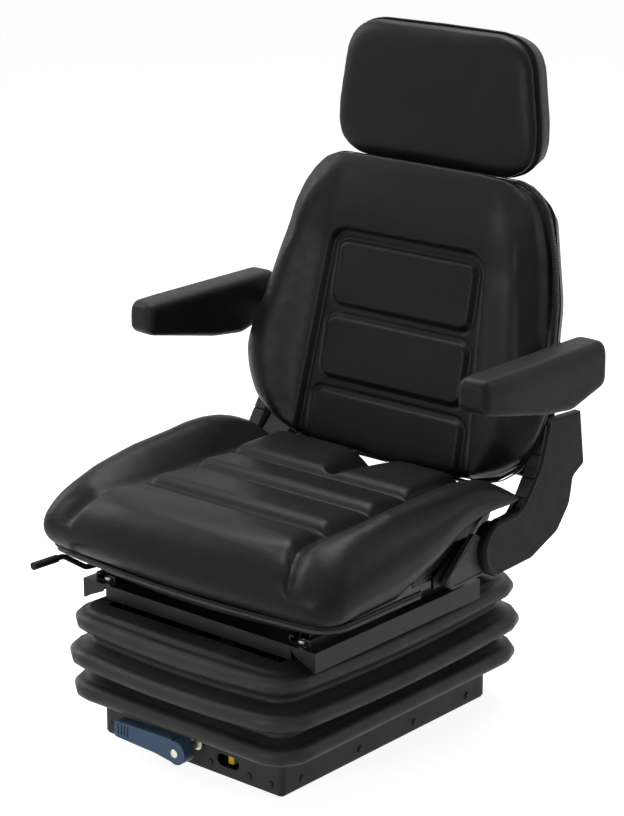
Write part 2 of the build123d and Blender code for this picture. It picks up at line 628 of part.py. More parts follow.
def spring_carriage():
    """Threaded crossbar that pulls the two suspension springs."""
    half = SPRING_OFFSET + 10
    y0, y1 = CARRIAGE_Y - 8, CARRIAGE_Y + 8
    bar = block(SPINDLE_X - half, SPINDLE_X + half, y0, y1, SPRING_Z - 7, SPRING_Z + 7)
    nut = block(SPINDLE_X - 14, SPINDLE_X + 14, y0, y1, SPRING_Z - 7, SPINDLE_Z + 12)
    post = block(INDICATOR_X - 6, INDICATOR_X + 6, y0, y0 + 5, SPRING_Z, INDICATOR_BAR_Z)
    solid = bar + nut + post
    return solid - rod_y(SPINDLE_X, SPINDLE_Z, SPINDLE_R + RUN_FIT, y0 - 1, y1 + 1)


def indicator_bar():
    """Strip on the carriage that carries the weight mark to the front window."""
    x0, x1 = INDICATOR_X - 6, INDICATOR_X + 6
    strip = block(x0, x1, INDICATOR_BEND_Y, CARRIAGE_Y - 3, INDICATOR_BAR_Z, INDICATOR_BAR_Z + 2.5)
    bend = (INDICATOR_BEND_Y, INDICATOR_BEND_Y + 2.5)
    return strip + block(x0, x1, *bend, INDICATOR_Z - 7, INDICATOR_BAR_Z + 2)


def indicator_mark():
    """Yellow block that shows in the window."""
    y1 = INDICATOR_BEND_Y
    return block(INDICATOR_X - 5, INDICATOR_X + 5, y1 - 11, y1, INDICATOR_Z - 6, INDICATOR_Z + 6)


def suspension_spring(side):
    """Tension spring between two plugs: one on the roller axle, one on the carriage."""
    x = SPINDLE_X + side * SPRING_OFFSET
    y0 = FRONT_AXLE_Y + AXLE_R + 22
    y1 = CARRIAGE_Y - 26
    coil_line = Helix(pitch=(y1 - y0) / SPRING_TURNS, height=y1 - y0, radius=SPRING_R - SPRING_WIRE_R)
    start = Plane(origin=coil_line @ 0, z_dir=coil_line % 0)
    coil = sweep(start * Circle(SPRING_WIRE_R), path=coil_line)
    solid = Pos(x, y0, SPRING_Z) * Rot(-90, 0, 0) * coil
    solid += rod_y(x, SPRING_Z, SPRING_R + 1, y0 - 8, y0 + 4)
    solid += rod_y(x, SPRING_Z, SPRING_R + 1, y1 - 4, y1 + 8)
    solid += rod_y(x, SPRING_Z, 4, y1 + 6, CARRIAGE_Y - 8)
    solid += block(x - 4, x + 4, FRONT_AXLE_Y, y0 - 6, SPRING_Z - 8, SPRING_Z + 8)
    solid += rod_x(FRONT_AXLE_Y, LOW_PIVOT_Z, AXLE_R + 4, x - 4, x + 4)
    return solid - rod_x(FRONT_AXLE_Y, LOW_PIVOT_Z, AXLE_R + RUN_FIT, x - 5, x + 5)


def weight_handle():
    """Moulded ratchet handle on the spindle's front end."""
    y0 = SPINDLE_END_Y + 3
    tip_x = SPINDLE_X - HANDLE_L
    top = [(tip_x, SPINDLE_Z + 14), (tip_x + 20, SPINDLE_Z + 15), (SPINDLE_X - 8, SPINDLE_Z + HUB_R)]
    bottom = [(SPINDLE_X - 4, SPINDLE_Z - HUB_R), (SPINDLE_X - 40, SPINDLE_Z - 12)]
    outline = top + bottom + [(tip_x, SPINDLE_Z + 14 - HANDLE_H)]
    grip = rounded_polygon(outline, [6, 0, 0, 0, 0, 7])
    solid = front_cut(grip, y0 + 2, y0 + HANDLE_T)
    solid += rod_y(SPINDLE_X, SPINDLE_Z, HUB_R, y0, y0 + HANDLE_T)
    for index in range(4):
        x = tip_x + 8 + 6 * index
        solid -= block(x, x + 2.4, y0, y0 + 3.4, SPINDLE_Z - 4, SPINDLE_Z + 11)
    return solid - rod_y(SPINDLE_X, SPINDLE_Z, SPINDLE_R + RUN_FIT, y0 - 1, y0 + HANDLE_T + 1)


# Seat pan, cushion and slide lever
def seat_outline(inset):
    """Plan outline of the cushion, bowed at the front."""
    half = CUSHION_W / 2 - inset
    front, rear = CUSHION_FRONT_Y + inset, CUSHION_REAR_Y - inset
    corners = [(half, front), (half, rear), (-half, rear), (-half, front)]
    sides = Polyline(*corners)
    bow = ThreePointArc(corners[-1], (0, front - CUSHION_BOW), corners[0])
    face = make_face(sides + bow)
    face = fillet(face.vertices().group_by(Axis.Y)[0], 44 - inset * 0.5)
    return fillet(face.vertices().group_by(Axis.Y)[-1], 30)


def seat_pan():
    """Pressed pan with sloping walls and raised sides at the recliners."""
    low, high = RAIL_TOP_Z, CUSHION_BOTTOM_Z - 0.3
    outer = loft([Pos(0, 0, low) * seat_outline(34), Pos(0, 0, high) * seat_outline(24)])
    top = high + PAN_SHEET
    floor = Pos(0, 0, low + PAN_SHEET) * seat_outline(36)
    inner = loft([floor, Pos(0, 0, top) * seat_outline(25.5)])
    pan = outer - inner
    wall = [(SIDE_NOTCH_Y + 4, high - 6), (CUSHION_REAR_Y - 60, high - 6), (CUSHION_REAR_Y - 60, 296)]
    wall += [(60, 296), (SIDE_NOTCH_Y + 4, 274)]
    wall_x = SIDE_NOTCH_X + 0.5
    side = side_cut(make_face(Polyline(*wall, close=True)), wall_x, wall_x + PAN_SHEET)
    for solid in both_sides(side):
        pan += solid
    return pan + lever_pivot()


def seat_cushion():
    """Seat cushion: crowned middle with cross channels between two side bolsters."""
    base = Pos(0, 0, CUSHION_BOTTOM_Z) * seat_outline(0)
    body = extrude(base, CUSHION_TOP_Z - CUSHION_BOTTOM_Z)
    body = fillet(body.faces().sort_by(Axis.Z)[-1].edges(), 30)
    rise = BOLSTER_TOP_Z - 330.0
    sections = [
        Plane.XZ.offset(-y) * Pos(x, 330) * Ellipse(width, rise * tall)
        for y, x, width, tall in BOLSTER_STATIONS
    ]
    for solid in both_sides(loft(sections)):
        body += solid
    for y in CHANNEL_PLACES:
        body -= rod_x(y, CUSHION_TOP_Z + 3, 10, -PAD_HALF, PAD_HALF)
    body -= rod_y(0, CUSHION_TOP_Z + 3, 10, CHANNEL_PLACES[-1], CUSHION_REAR_Y + 5)
    room = block(SIDE_NOTCH_X, CUSHION_W / 2 + 48, SIDE_NOTCH_Y, CUSHION_REAR_Y + 20, 200, SIDE_NOTCH_Z)
    for solid in both_sides(room):
        body -= solid
    return body


def cushion_zip():
    """Zip tape round the front and sides of the cushion's lower edge."""
    z = CUSHION_BOTTOM_Z + 3
    ring = seat_outline(-2.4) - seat_outline(-0.3)
    band = Pos(0, 0, z) * extrude(ring, 6)
    return band - block(-CUSHION_W, CUSHION_W, SIDE_NOTCH_Y - 4, 400, z - 10, z + 20)


def slide_lever():
    """Bent rod from under the cushion's corner back to the rail latch."""
    z = LEVER_Z
    points = [LEVER_TIP, LEVER_BEND, (LEVER_X - 4, CUSHION_FRONT_Y + 31, z)]
    points += [(LEVER_X, CUSHION_FRONT_Y + 53, z), (LEVER_X, LEVER_PIVOT_Y + 8, z)]
    line = FilletPolyline(*points, radius=[18, 16, 30])
    start = Plane(origin=line @ 0, z_dir=line % 0)
    rod = sweep(start * Circle(4.0), path=line)
    hub = rod_z(LEVER_X, LEVER_PIVOT_Y, 9, z - 4, z + 4) - rod_z(LEVER_X, LEVER_PIVOT_Y, 3.05, z - 9, z + 9)
    pawl = block(LEVER_X - 3, LEVER_X + 3, LATCH_Y - 4, LATCH_Y + 4, FRAME_TOP_Z + 6, z)
    edge = -RAIL_X - RAIL_W / 2
    pawl += block(edge - 0.4, LEVER_X + 3, LATCH_Y - 2, LATCH_Y + 2, FRAME_TOP_Z + 6, FRAME_TOP_Z + 10)
    return rod + hub + pawl - rod_z(LEVER_X, LEVER_PIVOT_Y, 3.05, z - 9, z + 9)


def lever_pivot():
    """Shouldered pin under the pan for the slide lever."""
    z = LEVER_Z
    pin = rod_z(LEVER_X, LEVER_PIVOT_Y, 3.0, z - 6, RAIL_TOP_Z)
    return pin + rod_z(LEVER_X, LEVER_PIVOT_Y, 6.0, z - 8, z - 4.3)


def lever_grip():
    """Plastic sleeve on the slide lever's free end."""
    tip, bend = Vector(*LEVER_TIP), Vector(*LEVER_BEND)
    along = (bend - tip).normalized()
    plane = Plane(origin=tip, z_dir=along)
    sleeve = plane * Pos(0, 0, 19) * Cylinder(5.6, 44)
    return sleeve - plane * Pos(0, 0, 25) * Cylinder(4.02, 50)


# Recliners, covers and backrest
def recliner_plate(side):
    """Steel plate on the pan's side with the recline pin."""
    outline = [(10, 246), (150, 246), (160, RECLINE_Z), (60, 290), (10, 262)]
    sketch = make_face(Polyline(*outline, close=True)) + Pos(RECLINE_Y, RECLINE_Z) * Circle(RECLINER_R)
    solid = side_cut(sketch, PLATE_X, PLATE_X + PLATE_T)
    solid += rod_x(RECLINE_Y, RECLINE_Z, PIN_RECLINE_R, PLATE_X, COVER_X - 0.6)
    for y in (40, 80):
        solid += rod_x(y, 256, 5, SIDE_NOTCH_X + 2.6, PLATE_X)
    return solid if side > 0 else mirror(solid, Plane.YZ)


def recliner_arm_outline():
    """Side view of the steel arm."""
    outline = [(150, 252), (205, 264), (262, 330), (272, 400), (284, 535), (258, 535)]
    outline += [(252, 460), (242, 420), (228, 380), (208, 348), (170, 312), (140, 308)]
    return make_face(Polyline(*outline, close=True)) + Pos(RECLINE_Y, RECLINE_Z) * Circle(RECLINER_R)


def recliner_arm(side):
    """Steel arm from the recline pin up to the armrest's pivot shaft."""
    solid = side_cut(recliner_arm_outline(), ARM_PLATE_X, ARM_PLATE_X + PLATE_T)
    solid -= rod_x(RECLINE_Y, RECLINE_Z, PIN_RECLINE_R + RUN_FIT, ARM_PLATE_X - 1, ARM_PLATE_X + PLATE_T + 1)
    shaft_end = ARMREST_INNER_X + ARMREST_WALL + PLATE_T
    solid += rod_x(ARM_PIVOT_Y, ARM_PIVOT_Z, ARM_PIVOT_R, ARM_PLATE_X, shaft_end)
    solid += rod_x(ARM_PIVOT_Y, ARM_PIVOT_Z, ARM_PIVOT_R + 6, ARM_PLATE_X, ARMREST_INNER_X - 8)
    for y, z in COVER_BOSSES:
        solid += rod_x(y, z, 5, ARM_PLATE_X, COVER_X + COVER_T - COVER_WALL)
    return solid if side > 0 else mirror(solid, Plane.YZ)


def recline_lever():
    """Moulded recline lever, held on the recline pin beside the cover's lobe."""
    x0 = ARM_PLATE_X + PLATE_T + 0.4
    points = [(81, 309), (96, 301), (108, 285), (112, 250), (104, 244), (34, 241), (18, 256)]
    paddle = rounded_polygon(points, [5, 5, 0, 0, 4, 9, 9])
    arm_points = [(100, 296), (RECLINE_Y, RECLINE_Z + 12), (RECLINE_Y, RECLINE_Z - 12), (100, 254)]
    arm = make_face(Polyline(*arm_points, close=True))
    sketch = paddle + arm + Pos(RECLINE_Y, RECLINE_Z) * Circle(13)
    solid = side_cut(sketch, x0, COVER_X - 0.6)
    return solid - rod_x(RECLINE_Y, RECLINE_Z, PIN_RECLINE_R + RUN_FIT, x0 - 1, COVER_X + 1)


def cover_outline():
    """Side view of the cover: a lobe round the pivot and an arm up to the armrest."""
    points = [(RECLINE_Y - 6, 318), (174, 322), (194, 342), (214, 372), (224, 405), (232, 436)]
    points += [(311, 432), (323, 352), (297, 338), (290, 300), (262, 266), (200, 242), (126, 239.5)]
    radii = [0, 14, 0, 0, 30, 0, 0, 6, 10, 30, 24, 8, 0]
    return rounded_polygon(points, radii) + Pos(RECLINE_Y - 4, RECLINE_Z) * Circle(LOBE_R)


def side_cover(side):
    """Moulded cover over the recliner, open towards the seat."""
    outline = cover_outline()
    x1 = COVER_X + COVER_T
    solid = side_cut(outline, COVER_X, x1)
    rim = solid.faces().sort_by(Axis.X)[-1].edges()
    solid = fillet(rim, 4.5)
    solid -= side_cut(offset(outline, -COVER_WALL), COVER_X - 1, x1 - COVER_WALL)
    step = make_face(Polyline((199, 255), (292, 316), (330, 316), (330, 230), (199, 230), close=True))
    solid -= side_cut(step, x1 - COVER_WALL / 2, x1 + 1)
    return solid if side > 0 else mirror(solid, Plane.YZ)


def side_strip(side):
    """Segmented trim along the front edge of the cover's arm."""
    outer = [(y - STRIP_T, z + STRIP_T * 0.5) for y, z in reversed(STRIP_POINTS)]
    face = make_face(Polyline(*STRIP_POINTS, *outer, close=True)) - offset(cover_outline(), STRIP_PLAY)
    solid = side_cut(face, ARM_PLATE_X + PLATE_T, COVER_X + COVER_T - 1)
    for y, z in ((204, 357), (219, 388)):
        groove = Pos(y - STRIP_T, z + 2) * Rot(0, 0, 20) * Rectangle(6, 1.6)
        solid -= side_cut(groove, ARM_PLATE_X, COVER_X + COVER_T)
    return solid if side > 0 else mirror(solid, Plane.YZ)


def cover_room():
    """Space that the cushion and shell leave free for plates and covers."""
    room = side_cut(offset(cover_outline(), 7), ARM_PLATE_X - 2, COVER_X + COVER_T + 4)
    return both_sides(room)


def shaft_rooms():
    """Space that the backrest leaves free round the armrests' pivot shafts."""
    ends = (ARM_PLATE_X - 14.4, BACK_HALF + 45)
    return both_sides(rod_x(ARM_PIVOT_Y, ARM_PIVOT_Z, SHAFT_ROOM_R, *ends))


def back_outline(grow=0.0):
    """Front view of the backrest in its own leaning plane."""
    half = [(BACK_HALF - 83, 0), (BACK_HALF - 15, 46), (BACK_HALF, 112)]
    half += [(BACK_HALF - 9, BACK_H - 157), (BACK_HALF - 43, BACK_H - 29), (BACK_HALF - 87, BACK_H)]
    face = make_face(Polyline(*mirrored(half), close=True))
    for (x, y), radius in zip(half, BACK_RADII):
        pair = [v for v in face.vertices() if abs(abs(v.X) - x) < 0.01 and abs(v.Y - y) < 0.01]
        face = fillet(pair, radius)
    return offset(face, grow) if grow else face


def pads_pocket(grow):
    """Recessed panel of the backrest, wider at its lower end."""
    points = [(160 + grow, -20), (140 + grow, 322 + grow), (-140 - grow, 322 + grow), (-160 - grow, -20)]
    return rounded_polygon(points, [0, 26, 26, 0])


def back_cushion():
    """Back cushion: bolstered rim round a recessed panel with three raised pads."""
    body = extrude(BACK.offset(-BACK_THICK) * back_outline(), BACK_THICK + BACK_BOLSTER)
    front = body.faces().sort_by(OUT_OF_BACK)[-1]
    body = fillet(front.edges(), 28)
    body -= extrude(BACK.offset(-3) * pads_pocket(0), 60)
    for low, high, half in PAD_ROWS:
        pad = RectangleRounded(2 * half, high - low, 16)
        solid = extrude(BACK.offset(-6) * Pos(0, (low + high) / 2) * pad, 14)
        solid = fillet(solid.faces().sort_by(OUT_OF_BACK)[-1].edges(), 5)
        body += solid
    for room in cover_room():
        body -= room
    for shaft in shaft_rooms():
        body -= shaft
    for plate in both_sides(block(ARM_PLATE_X - 1, BACK_HALF + 5, 240, 400, 420, ARM_PIVOT_Z + 30)):
        body -= plate
    return body


def back_zip():
    """Zip tape round the backrest, between the cushion and the shell."""
    ring = back_outline(2.2) - back_outline(0.3)
    band = extrude(BACK.offset(-24) * ring, 6)
    band -= block(-BACK_HALF - 10, BACK_HALF + 10, 0, ARM_PIVOT_Y + 240, 0, ARM_PIVOT_Z + 45)
    return band


def back_shell():
    """Moulded rear shell, open towards the cushion."""
    front_t = -BACK_THICK - 0.4
    rear_t = front_t - BACK_SHELL_DEPTH
    outer = loft([BACK.offset(rear_t) * back_outline(-SHELL_TAPER), BACK.offset(front_t) * back_outline()])
    outer = fillet(outer.faces().sort_by(OUT_OF_BACK)[0].edges(), 12)
    inner_rear = back_outline(-SHELL_TAPER - SHELL_WALL)
    inner_front = back_outline(-SHELL_WALL)
    hollow = loft([BACK.offset(rear_t + SHELL_WALL) * inner_rear, BACK.offset(front_t) * inner_front])
    hollow = fillet(hollow.faces().sort_by(OUT_OF_BACK)[0].edges(), 9)
    shell = outer - hollow
    for x in (-POST_X, POST_X):
        shell -= BACK.offset(FRAME_T) * Pos(x, BACK_H - 5) * Rot(90, 0, 0) * Cylinder(POST_R + 5, 40)
    for room in cover_room():
        shell -= room
    for shaft in shaft_rooms():
        shell -= shaft
    arm_room = side_cut(offset(recliner_arm_outline(), 2), ARM_PLATE_X - 1, COVER_X + COVER_T)
    for plate in both_sides(arm_room):
        shell -= plate
    shell -= BACK.offset(FRAME_T) * Pos(0, FRAME_LOW_W) * Rot(0, 90, 0) * Cylinder(BACK_TUBE_R + 2, 480)
    return max(shell.solids(), key=lambda solid: solid.volume)


def back_frame():
    """Bent tube frame with a lower cross tube and sockets for the headrest posts."""
    plane = BACK.offset(FRAME_T)
    half = [(-FRAME_X, FRAME_LOW_W), (-FRAME_X, FRAME_CROSS_W)]
    points = half + [(-x, w) for x, w in reversed(half)]
    line = FilletPolyline(*points, radius=50)
    start = Plane(origin=line @ 0, z_dir=line % 0)
    hoop = plane * sweep(start * Circle(BACK_TUBE_R), path=line)
    cross = plane * Pos(0, FRAME_LOW_W) * Rot(0, 90, 0) * Cylinder(BACK_TUBE_R + 1, 2 * ARM_PLATE_X - 0.2)
    solid = hoop + cross
    socket_l = BACK_H - 12 - FRAME_CROSS_W
    for x in (-POST_X, POST_X):
        place = plane * Pos(x, FRAME_CROSS_W + socket_l / 2) * Rot(90, 0, 0)
        solid += place * Cylinder(POST_R + 3.5, socket_l)
        solid -= place * Pos(0, 0, -7) * Cylinder(POST_R + RUN_FIT, socket_l - 12)
    return solid


def headrest_posts():
    """Two posts joined by a cross bar inside the headrest."""
    plane = BACK.offset(FRAME_T)
    low = FRAME_CROSS_W + BACK_TUBE_R + 8
    high = BACK_H + POST_ABOVE
    bar = plane * Pos(0, high) * Rot(0, 90, 0) * Cylinder(POST_R, 2 * POST_X + 2 * POST_R)
    solid = bar
    for x in (-POST_X, POST_X):
        solid += plane * Pos(x, (low + high) / 2) * Rot(90, 0, 0) * Cylinder(POST_R, high - low)
    return solid


def head_outline(grow=0.0):
    """Front view of the headrest, wider at the bottom."""
    low, top = HEAD_W_LOW / 2, HEAD_W_TOP / 2
    face = rounded_polygon([(low, 0), (top, HEAD_H), (-top, HEAD_H), (-low, 0)], [42, 24, 24, 42])
    return offset(face, grow) if grow else face


def headrest_cushion():
    """Padded front of the headrest."""
    body = extrude(HEAD.offset(-HEAD_PAD) * head_outline(), HEAD_PAD)
    return fillet(body.faces().sort_by(OUT_OF_HEAD)[-1].edges(), 5)


def headrest_shell():
    """Moulded rear shell of the headrest."""
    front_t = -HEAD_PAD - 0.4
    rear_t = front_t - HEAD_SHELL
    outer = loft([HEAD.offset(rear_t) * head_outline(-HEAD_TAPER), HEAD.offset(front_t) * head_outline()])
    outer = fillet(outer.faces().sort_by(OUT_OF_HEAD)[0].edges(), 12)
    inner_rear = head_outline(-HEAD_TAPER - SHELL_WALL)
    inner_front = head_outline(-SHELL_WALL)
    hollow = loft([HEAD.offset(rear_t + SHELL_WALL) * inner_rear, HEAD.offset(front_t) * inner_front])
    hollow = fillet(hollow.faces().sort_by(OUT_OF_HEAD)[0].edges(), 9)
    shell = outer - hollow
    for x in (-POST_X, POST_X):
        shell -= BACK.offset(FRAME_T) * Pos(x, BACK_H + 20) * Rot(90, 0, 0) * Cylinder(POST_R + 0.3, 40)
    return shell


# Armrests
def armrest_pad(side):
    """Moulded armrest, deeper towards the back, with a slanted front end."""
    points = [(ARMREST_FRONT_Y, ARMREST_TOP_Z), (ARMREST_REAR_Y, ARMREST_TOP_Z)]
    points += [(ARMREST_REAR_Y, ARMREST_TOP_Z - 64), (200, ARMREST_TOP_Z - 85), (140, ARMREST_TOP_Z - 78)]
    points += [(ARMREST_FRONT_Y + 8, ARMREST_TOP_Z - 48), (ARMREST_FRONT_Y, ARMREST_TOP_Z - 40)]
    outline = rounded_polygon(points, [10, 12, 14, 40, 60, 0, 6])
    solid = side_cut(outline, ARMREST_INNER_X, ARMREST_OUTER_X)
    inner_x, outer_x = ARMREST_INNER_X - 1, ARMREST_OUTER_X + 1
    corners = [(inner_x, ARMREST_FRONT_Y - 36), (outer_x, ARMREST_FRONT_Y - 36)]
    corners += [(outer_x, ARMREST_FRONT_Y + 18), (inner_x, ARMREST_FRONT_Y + 1)]
    slant = make_face(Polyline(*corners, close=True))
    solid -= extrude(Pos(0, 0, 400) * slant, 200)
    solid = fillet(solid.faces().filter_by(Axis.X).sort_by(Axis.X)[-1].edges(), 6)
    x0 = ARMREST_INNER_X + ARMREST_WALL
    below = Pos((ARM_PIVOT_Y + 90) / 2, ARM_PIVOT_Z - 40) * Rectangle(ARM_PIVOT_Y - 60, 82)
    slot = offset(armrest_arm_outline(), 0.4) + below
    solid -= side_cut(slot, x0, x0 + PLATE_T + 0.8)
    solid -= rod_x(ARM_PIVOT_Y, ARM_PIVOT_Z, ARM_PIVOT_R + 0.5, ARMREST_INNER_X - 1, x0 + 1)
    return solid if side > 0 else mirror(solid, Plane.YZ)


def armrest_arm_outline():
    """Side view of the steel arm: a bar with a round hub."""
    bar = Pos((ARM_PIVOT_Y + 90) / 2, ARM_PIVOT_Z + 4) * SlotCenterToCenter(ARM_PIVOT_Y - 90, 22)
    return bar + Pos(ARM_PIVOT_Y, ARM_PIVOT_Z) * Circle(13)


def armrest_arm(side):
    """Steel arm in a slot of the armrest, with its pivot hub."""
    x0 = ARMREST_INNER_X + ARMREST_WALL + 0.4
    solid = side_cut(armrest_arm_outline(), x0, x0 + PLATE_T)
    solid -= rod_x(ARM_PIVOT_Y, ARM_PIVOT_Z, ARM_PIVOT_R + RUN_FIT, x0 - 1, x0 + PLATE_T + 1)
    return solid if side > 0 else mirror(solid, Plane.YZ)


def build():
    """Make every node."""
    add("base_tray", base_tray())
    add("bellows", bellows())
    add("skirt_rivets", skirt_rivets())
    add("channel_stops", channel_stops())
    add("damper_bracket_low", damper_bracket(True))
    add("spindle_bearing", spindle_bearing())
    add("spindle_washer", spindle_washer())
    add("adjuster_spindle", adjuster_spindle())
    add("spring_carriage", spring_carriage())
    add("indicator_bar", indicator_bar())
    add("indicator_mark", indicator_mark())
    add("weight_handle", weight_handle())
    add("upper_frame", upper_frame())
    add("frame_bolts", frame_bolts())
    add("damper_bracket_high", damper_bracket(False))
    add("scissor_outer", scissor_outer())
    add("scissor_inner", scissor_inner())
    add("rollers_lower", rollers(LOW_PIVOT_Z))
    add("rollers_upper", rollers(HIGH_PIVOT_Z))
    add("damper_body", damper_body())
    add("damper_rod", damper_rod())
    add("seat_pan", seat_pan())
    add("seat_cushion", seat_cushion())
    add("cushion_zip", cushion_zip())
    add("slide_lever", slide_lever())
    add("lever_grip", lever_grip())
    add("back_cushion", back_cushion())
    add("back_zip", back_zip())
    add("back_shell", back_shell())
    add("back_frame", back_frame())
    add("headrest_posts", headrest_posts())
    add("headrest_cushion", headrest_cushion())
    add("headrest_shell", headrest_shell())
    add("recline_lever", recline_lever())
    upper_low = HIGH_PIVOT_Z - CHANNEL_IN_H / 2
    lower_low = LOW_PIVOT_Z - CHANNEL_IN_H / 2
    for name, side in SIDES:
        add("base_channel_" + name, channel(side, lower_low, CHANNEL_FRONT_Y, CHANNEL_REAR_Y))
        add("frame_channel_" + name, channel(side, upper_low, CHANNEL_FRONT_Y, CHANNEL_REAR_Y))
        add("suspension_spring_" + name, suspension_spring(side))
        add("slide_rail_lower_" + name, lower_rail(side))
        add("slide_rail_upper_" + name, upper_rail(side))
        add("recliner_plate_" + name, recliner_plate(side))
        add("recliner_arm_" + name, recliner_arm(side))
        add("side_cover_" + name, side_cover(side))
        add("side_strip_" + name, side_strip(side))
        add("armrest_pad_" + name, armrest_pad(side))
        add("armrest_arm_" + name, armrest_arm(side))


def write():
    """Write one file for each node."""
    os.makedirs("parts", exist_ok=True)
    for name, shape in PARTS.items():
        export_step(shape, os.path.join("parts", name + ".step"))


build()
write()
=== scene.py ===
"""Tractor suspension seat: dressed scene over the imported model.  Lengths are in metres."""

import json
import math

import bpy
import numpy as np
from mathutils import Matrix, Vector


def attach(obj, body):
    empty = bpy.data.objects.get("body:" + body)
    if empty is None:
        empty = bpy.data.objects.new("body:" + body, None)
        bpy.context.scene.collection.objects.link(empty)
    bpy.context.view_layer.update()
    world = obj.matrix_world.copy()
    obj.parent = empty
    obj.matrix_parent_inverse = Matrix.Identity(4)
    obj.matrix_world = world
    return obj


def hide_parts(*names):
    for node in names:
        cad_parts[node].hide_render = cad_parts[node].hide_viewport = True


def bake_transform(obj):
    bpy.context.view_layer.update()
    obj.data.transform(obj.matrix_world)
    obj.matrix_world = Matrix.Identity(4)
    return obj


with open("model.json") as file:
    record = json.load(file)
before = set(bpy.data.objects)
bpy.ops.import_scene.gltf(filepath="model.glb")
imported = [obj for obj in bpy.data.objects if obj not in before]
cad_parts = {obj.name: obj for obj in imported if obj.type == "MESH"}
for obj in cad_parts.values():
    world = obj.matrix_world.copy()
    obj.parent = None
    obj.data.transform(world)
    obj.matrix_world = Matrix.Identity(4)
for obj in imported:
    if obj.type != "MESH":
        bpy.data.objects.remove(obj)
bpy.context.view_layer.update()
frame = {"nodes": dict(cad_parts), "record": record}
nodes = frame["nodes"]
scene = bpy.context.scene
scene.view_settings.view_transform = "Standard"
MM = 0.001

# The leaning planes of the backrest and the headrest, as in the CAD model
BACK_ORIGIN = np.array([0.0, 183.7, 334.0])
BACK_LEAN = math.radians(12.0)
HEAD_ORIGIN = np.array([0.0, 293.0, 752.0])
HEAD_LEAN = math.radians(3.0)


# Number helpers
def smooth(low, high, value):
    """Rises smoothly from 0 at low to 1 at high."""
    t = np.clip((value - low) / (high - low), 0.0, 1.0)
    return t * t * (3.0 - 2.0 * t)


def ridge(value, middle, width):
    """A rounded ridge of height 1."""
    return np.exp(-(((value - middle) / width) ** 2))


def rounded_box_distance(u, w, half_u, low, high, radius):
    """Distance to a rounded rectangle's edge, negative inside."""
    qu = np.abs(u) - half_u + radius
    qw = np.abs(w - (low + high) / 2) - (high - low) / 2 + radius
    outside = np.hypot(np.maximum(qu, 0), np.maximum(qw, 0))
    return outside + np.minimum(np.maximum(qu, qw), 0) - radius


def resampled(points, count, closed=True):
    """Points spaced evenly along a line."""
    points = np.asarray(points, float)
    if closed:
        points = np.vstack([points, points[:1]])
    steps = np.linalg.norm(np.diff(points, axis=0), axis=1)
    along = np.concatenate([[0.0], np.cumsum(steps)])
    wanted = np.linspace(0, along[-1], count, endpoint=not closed)
    return np.stack([np.interp(wanted, along, points[:, i]) for i in range(points.shape[1])], axis=1)


def rounded_outline(corners, radii, count):
    """A closed outline with an arc at each corner."""
    corners = np.asarray(corners, float)
    path = []
    for i, corner in enumerate(corners):
        before = corners[i - 1] - corner
        after = corners[(i + 1) % len(corners)] - corner
        before = before / np.linalg.norm(before)
        after = after / np.linalg.norm(after)
        half = math.acos(np.clip(before @ after, -1, 1)) / 2
        bisector = before + after
        if radii[i] <= 0 or np.linalg.norm(bisector) < 1e-6:
            path.append(corner)
            continue
        cut = radii[i] / math.tan(half)
        centre = corner + bisector / np.linalg.norm(bisector) * radii[i] / math.sin(half)
        start = corner + before * cut - centre
        end = corner + after * cut - centre
        for t in np.linspace(0, 1, 10):
            spoke = start * (1 - t) + end * t
            path.append(centre + spoke / np.linalg.norm(spoke) * radii[i])
    return resampled(path, count)


# Places
def back_place(u, w, t):
    """From the backrest's own plane to the row frame, in millimetres."""
    x = BACK_ORIGIN[0] + u
    y = BACK_ORIGIN[1] + w * math.sin(BACK_LEAN) - t * math.cos(BACK_LEAN)
    z = BACK_ORIGIN[2] + w * math.cos(BACK_LEAN) + t * math.sin(BACK_LEAN)
    return np.stack([x, y, z], axis=-1)


def head_place(u, w, t):
    """From the headrest's own plane to the row frame, in millimetres."""
    x = HEAD_ORIGIN[0] + u
    y = HEAD_ORIGIN[1] + w * math.sin(HEAD_LEAN) - t * math.cos(HEAD_LEAN)
    z = HEAD_ORIGIN[2] + w * math.cos(HEAD_LEAN) + t * math.sin(HEAD_LEAN)
    return np.stack([x, y, z], axis=-1)


def seat_place(u, w, t):
    """The seat's plane lies level: across, towards the rear and up."""
    return np.stack([u, w, t], axis=-1)


# Mesh helpers
def mesh_piece(name, points, faces, material):
    """A smooth-shaded object from points in millimetres."""
    mesh = bpy.data.meshes.new(name)
    mesh.from_pydata((np.asarray(points) * MM).tolist(), [], faces)
    mesh.update()
    piece = bpy.data.objects.new(name, mesh)
    scene.collection.objects.link(piece)
    piece.data.materials.append(material)
    piece.data.polygons.foreach_set("use_smooth", [True] * len(mesh.polygons))
    return piece


def ring_faces(rings, count, closed=False):
    """Quads between neighbouring rings of the same count."""
    faces = []
    last = rings if closed else rings - 1
    for r in range(last):
        low = r * count
        high = ((r + 1) % rings) * count
        for i in range(count):
            j = (i + 1) % count
            faces.append((low + i, low + j, high + j, high + i))
    return faces


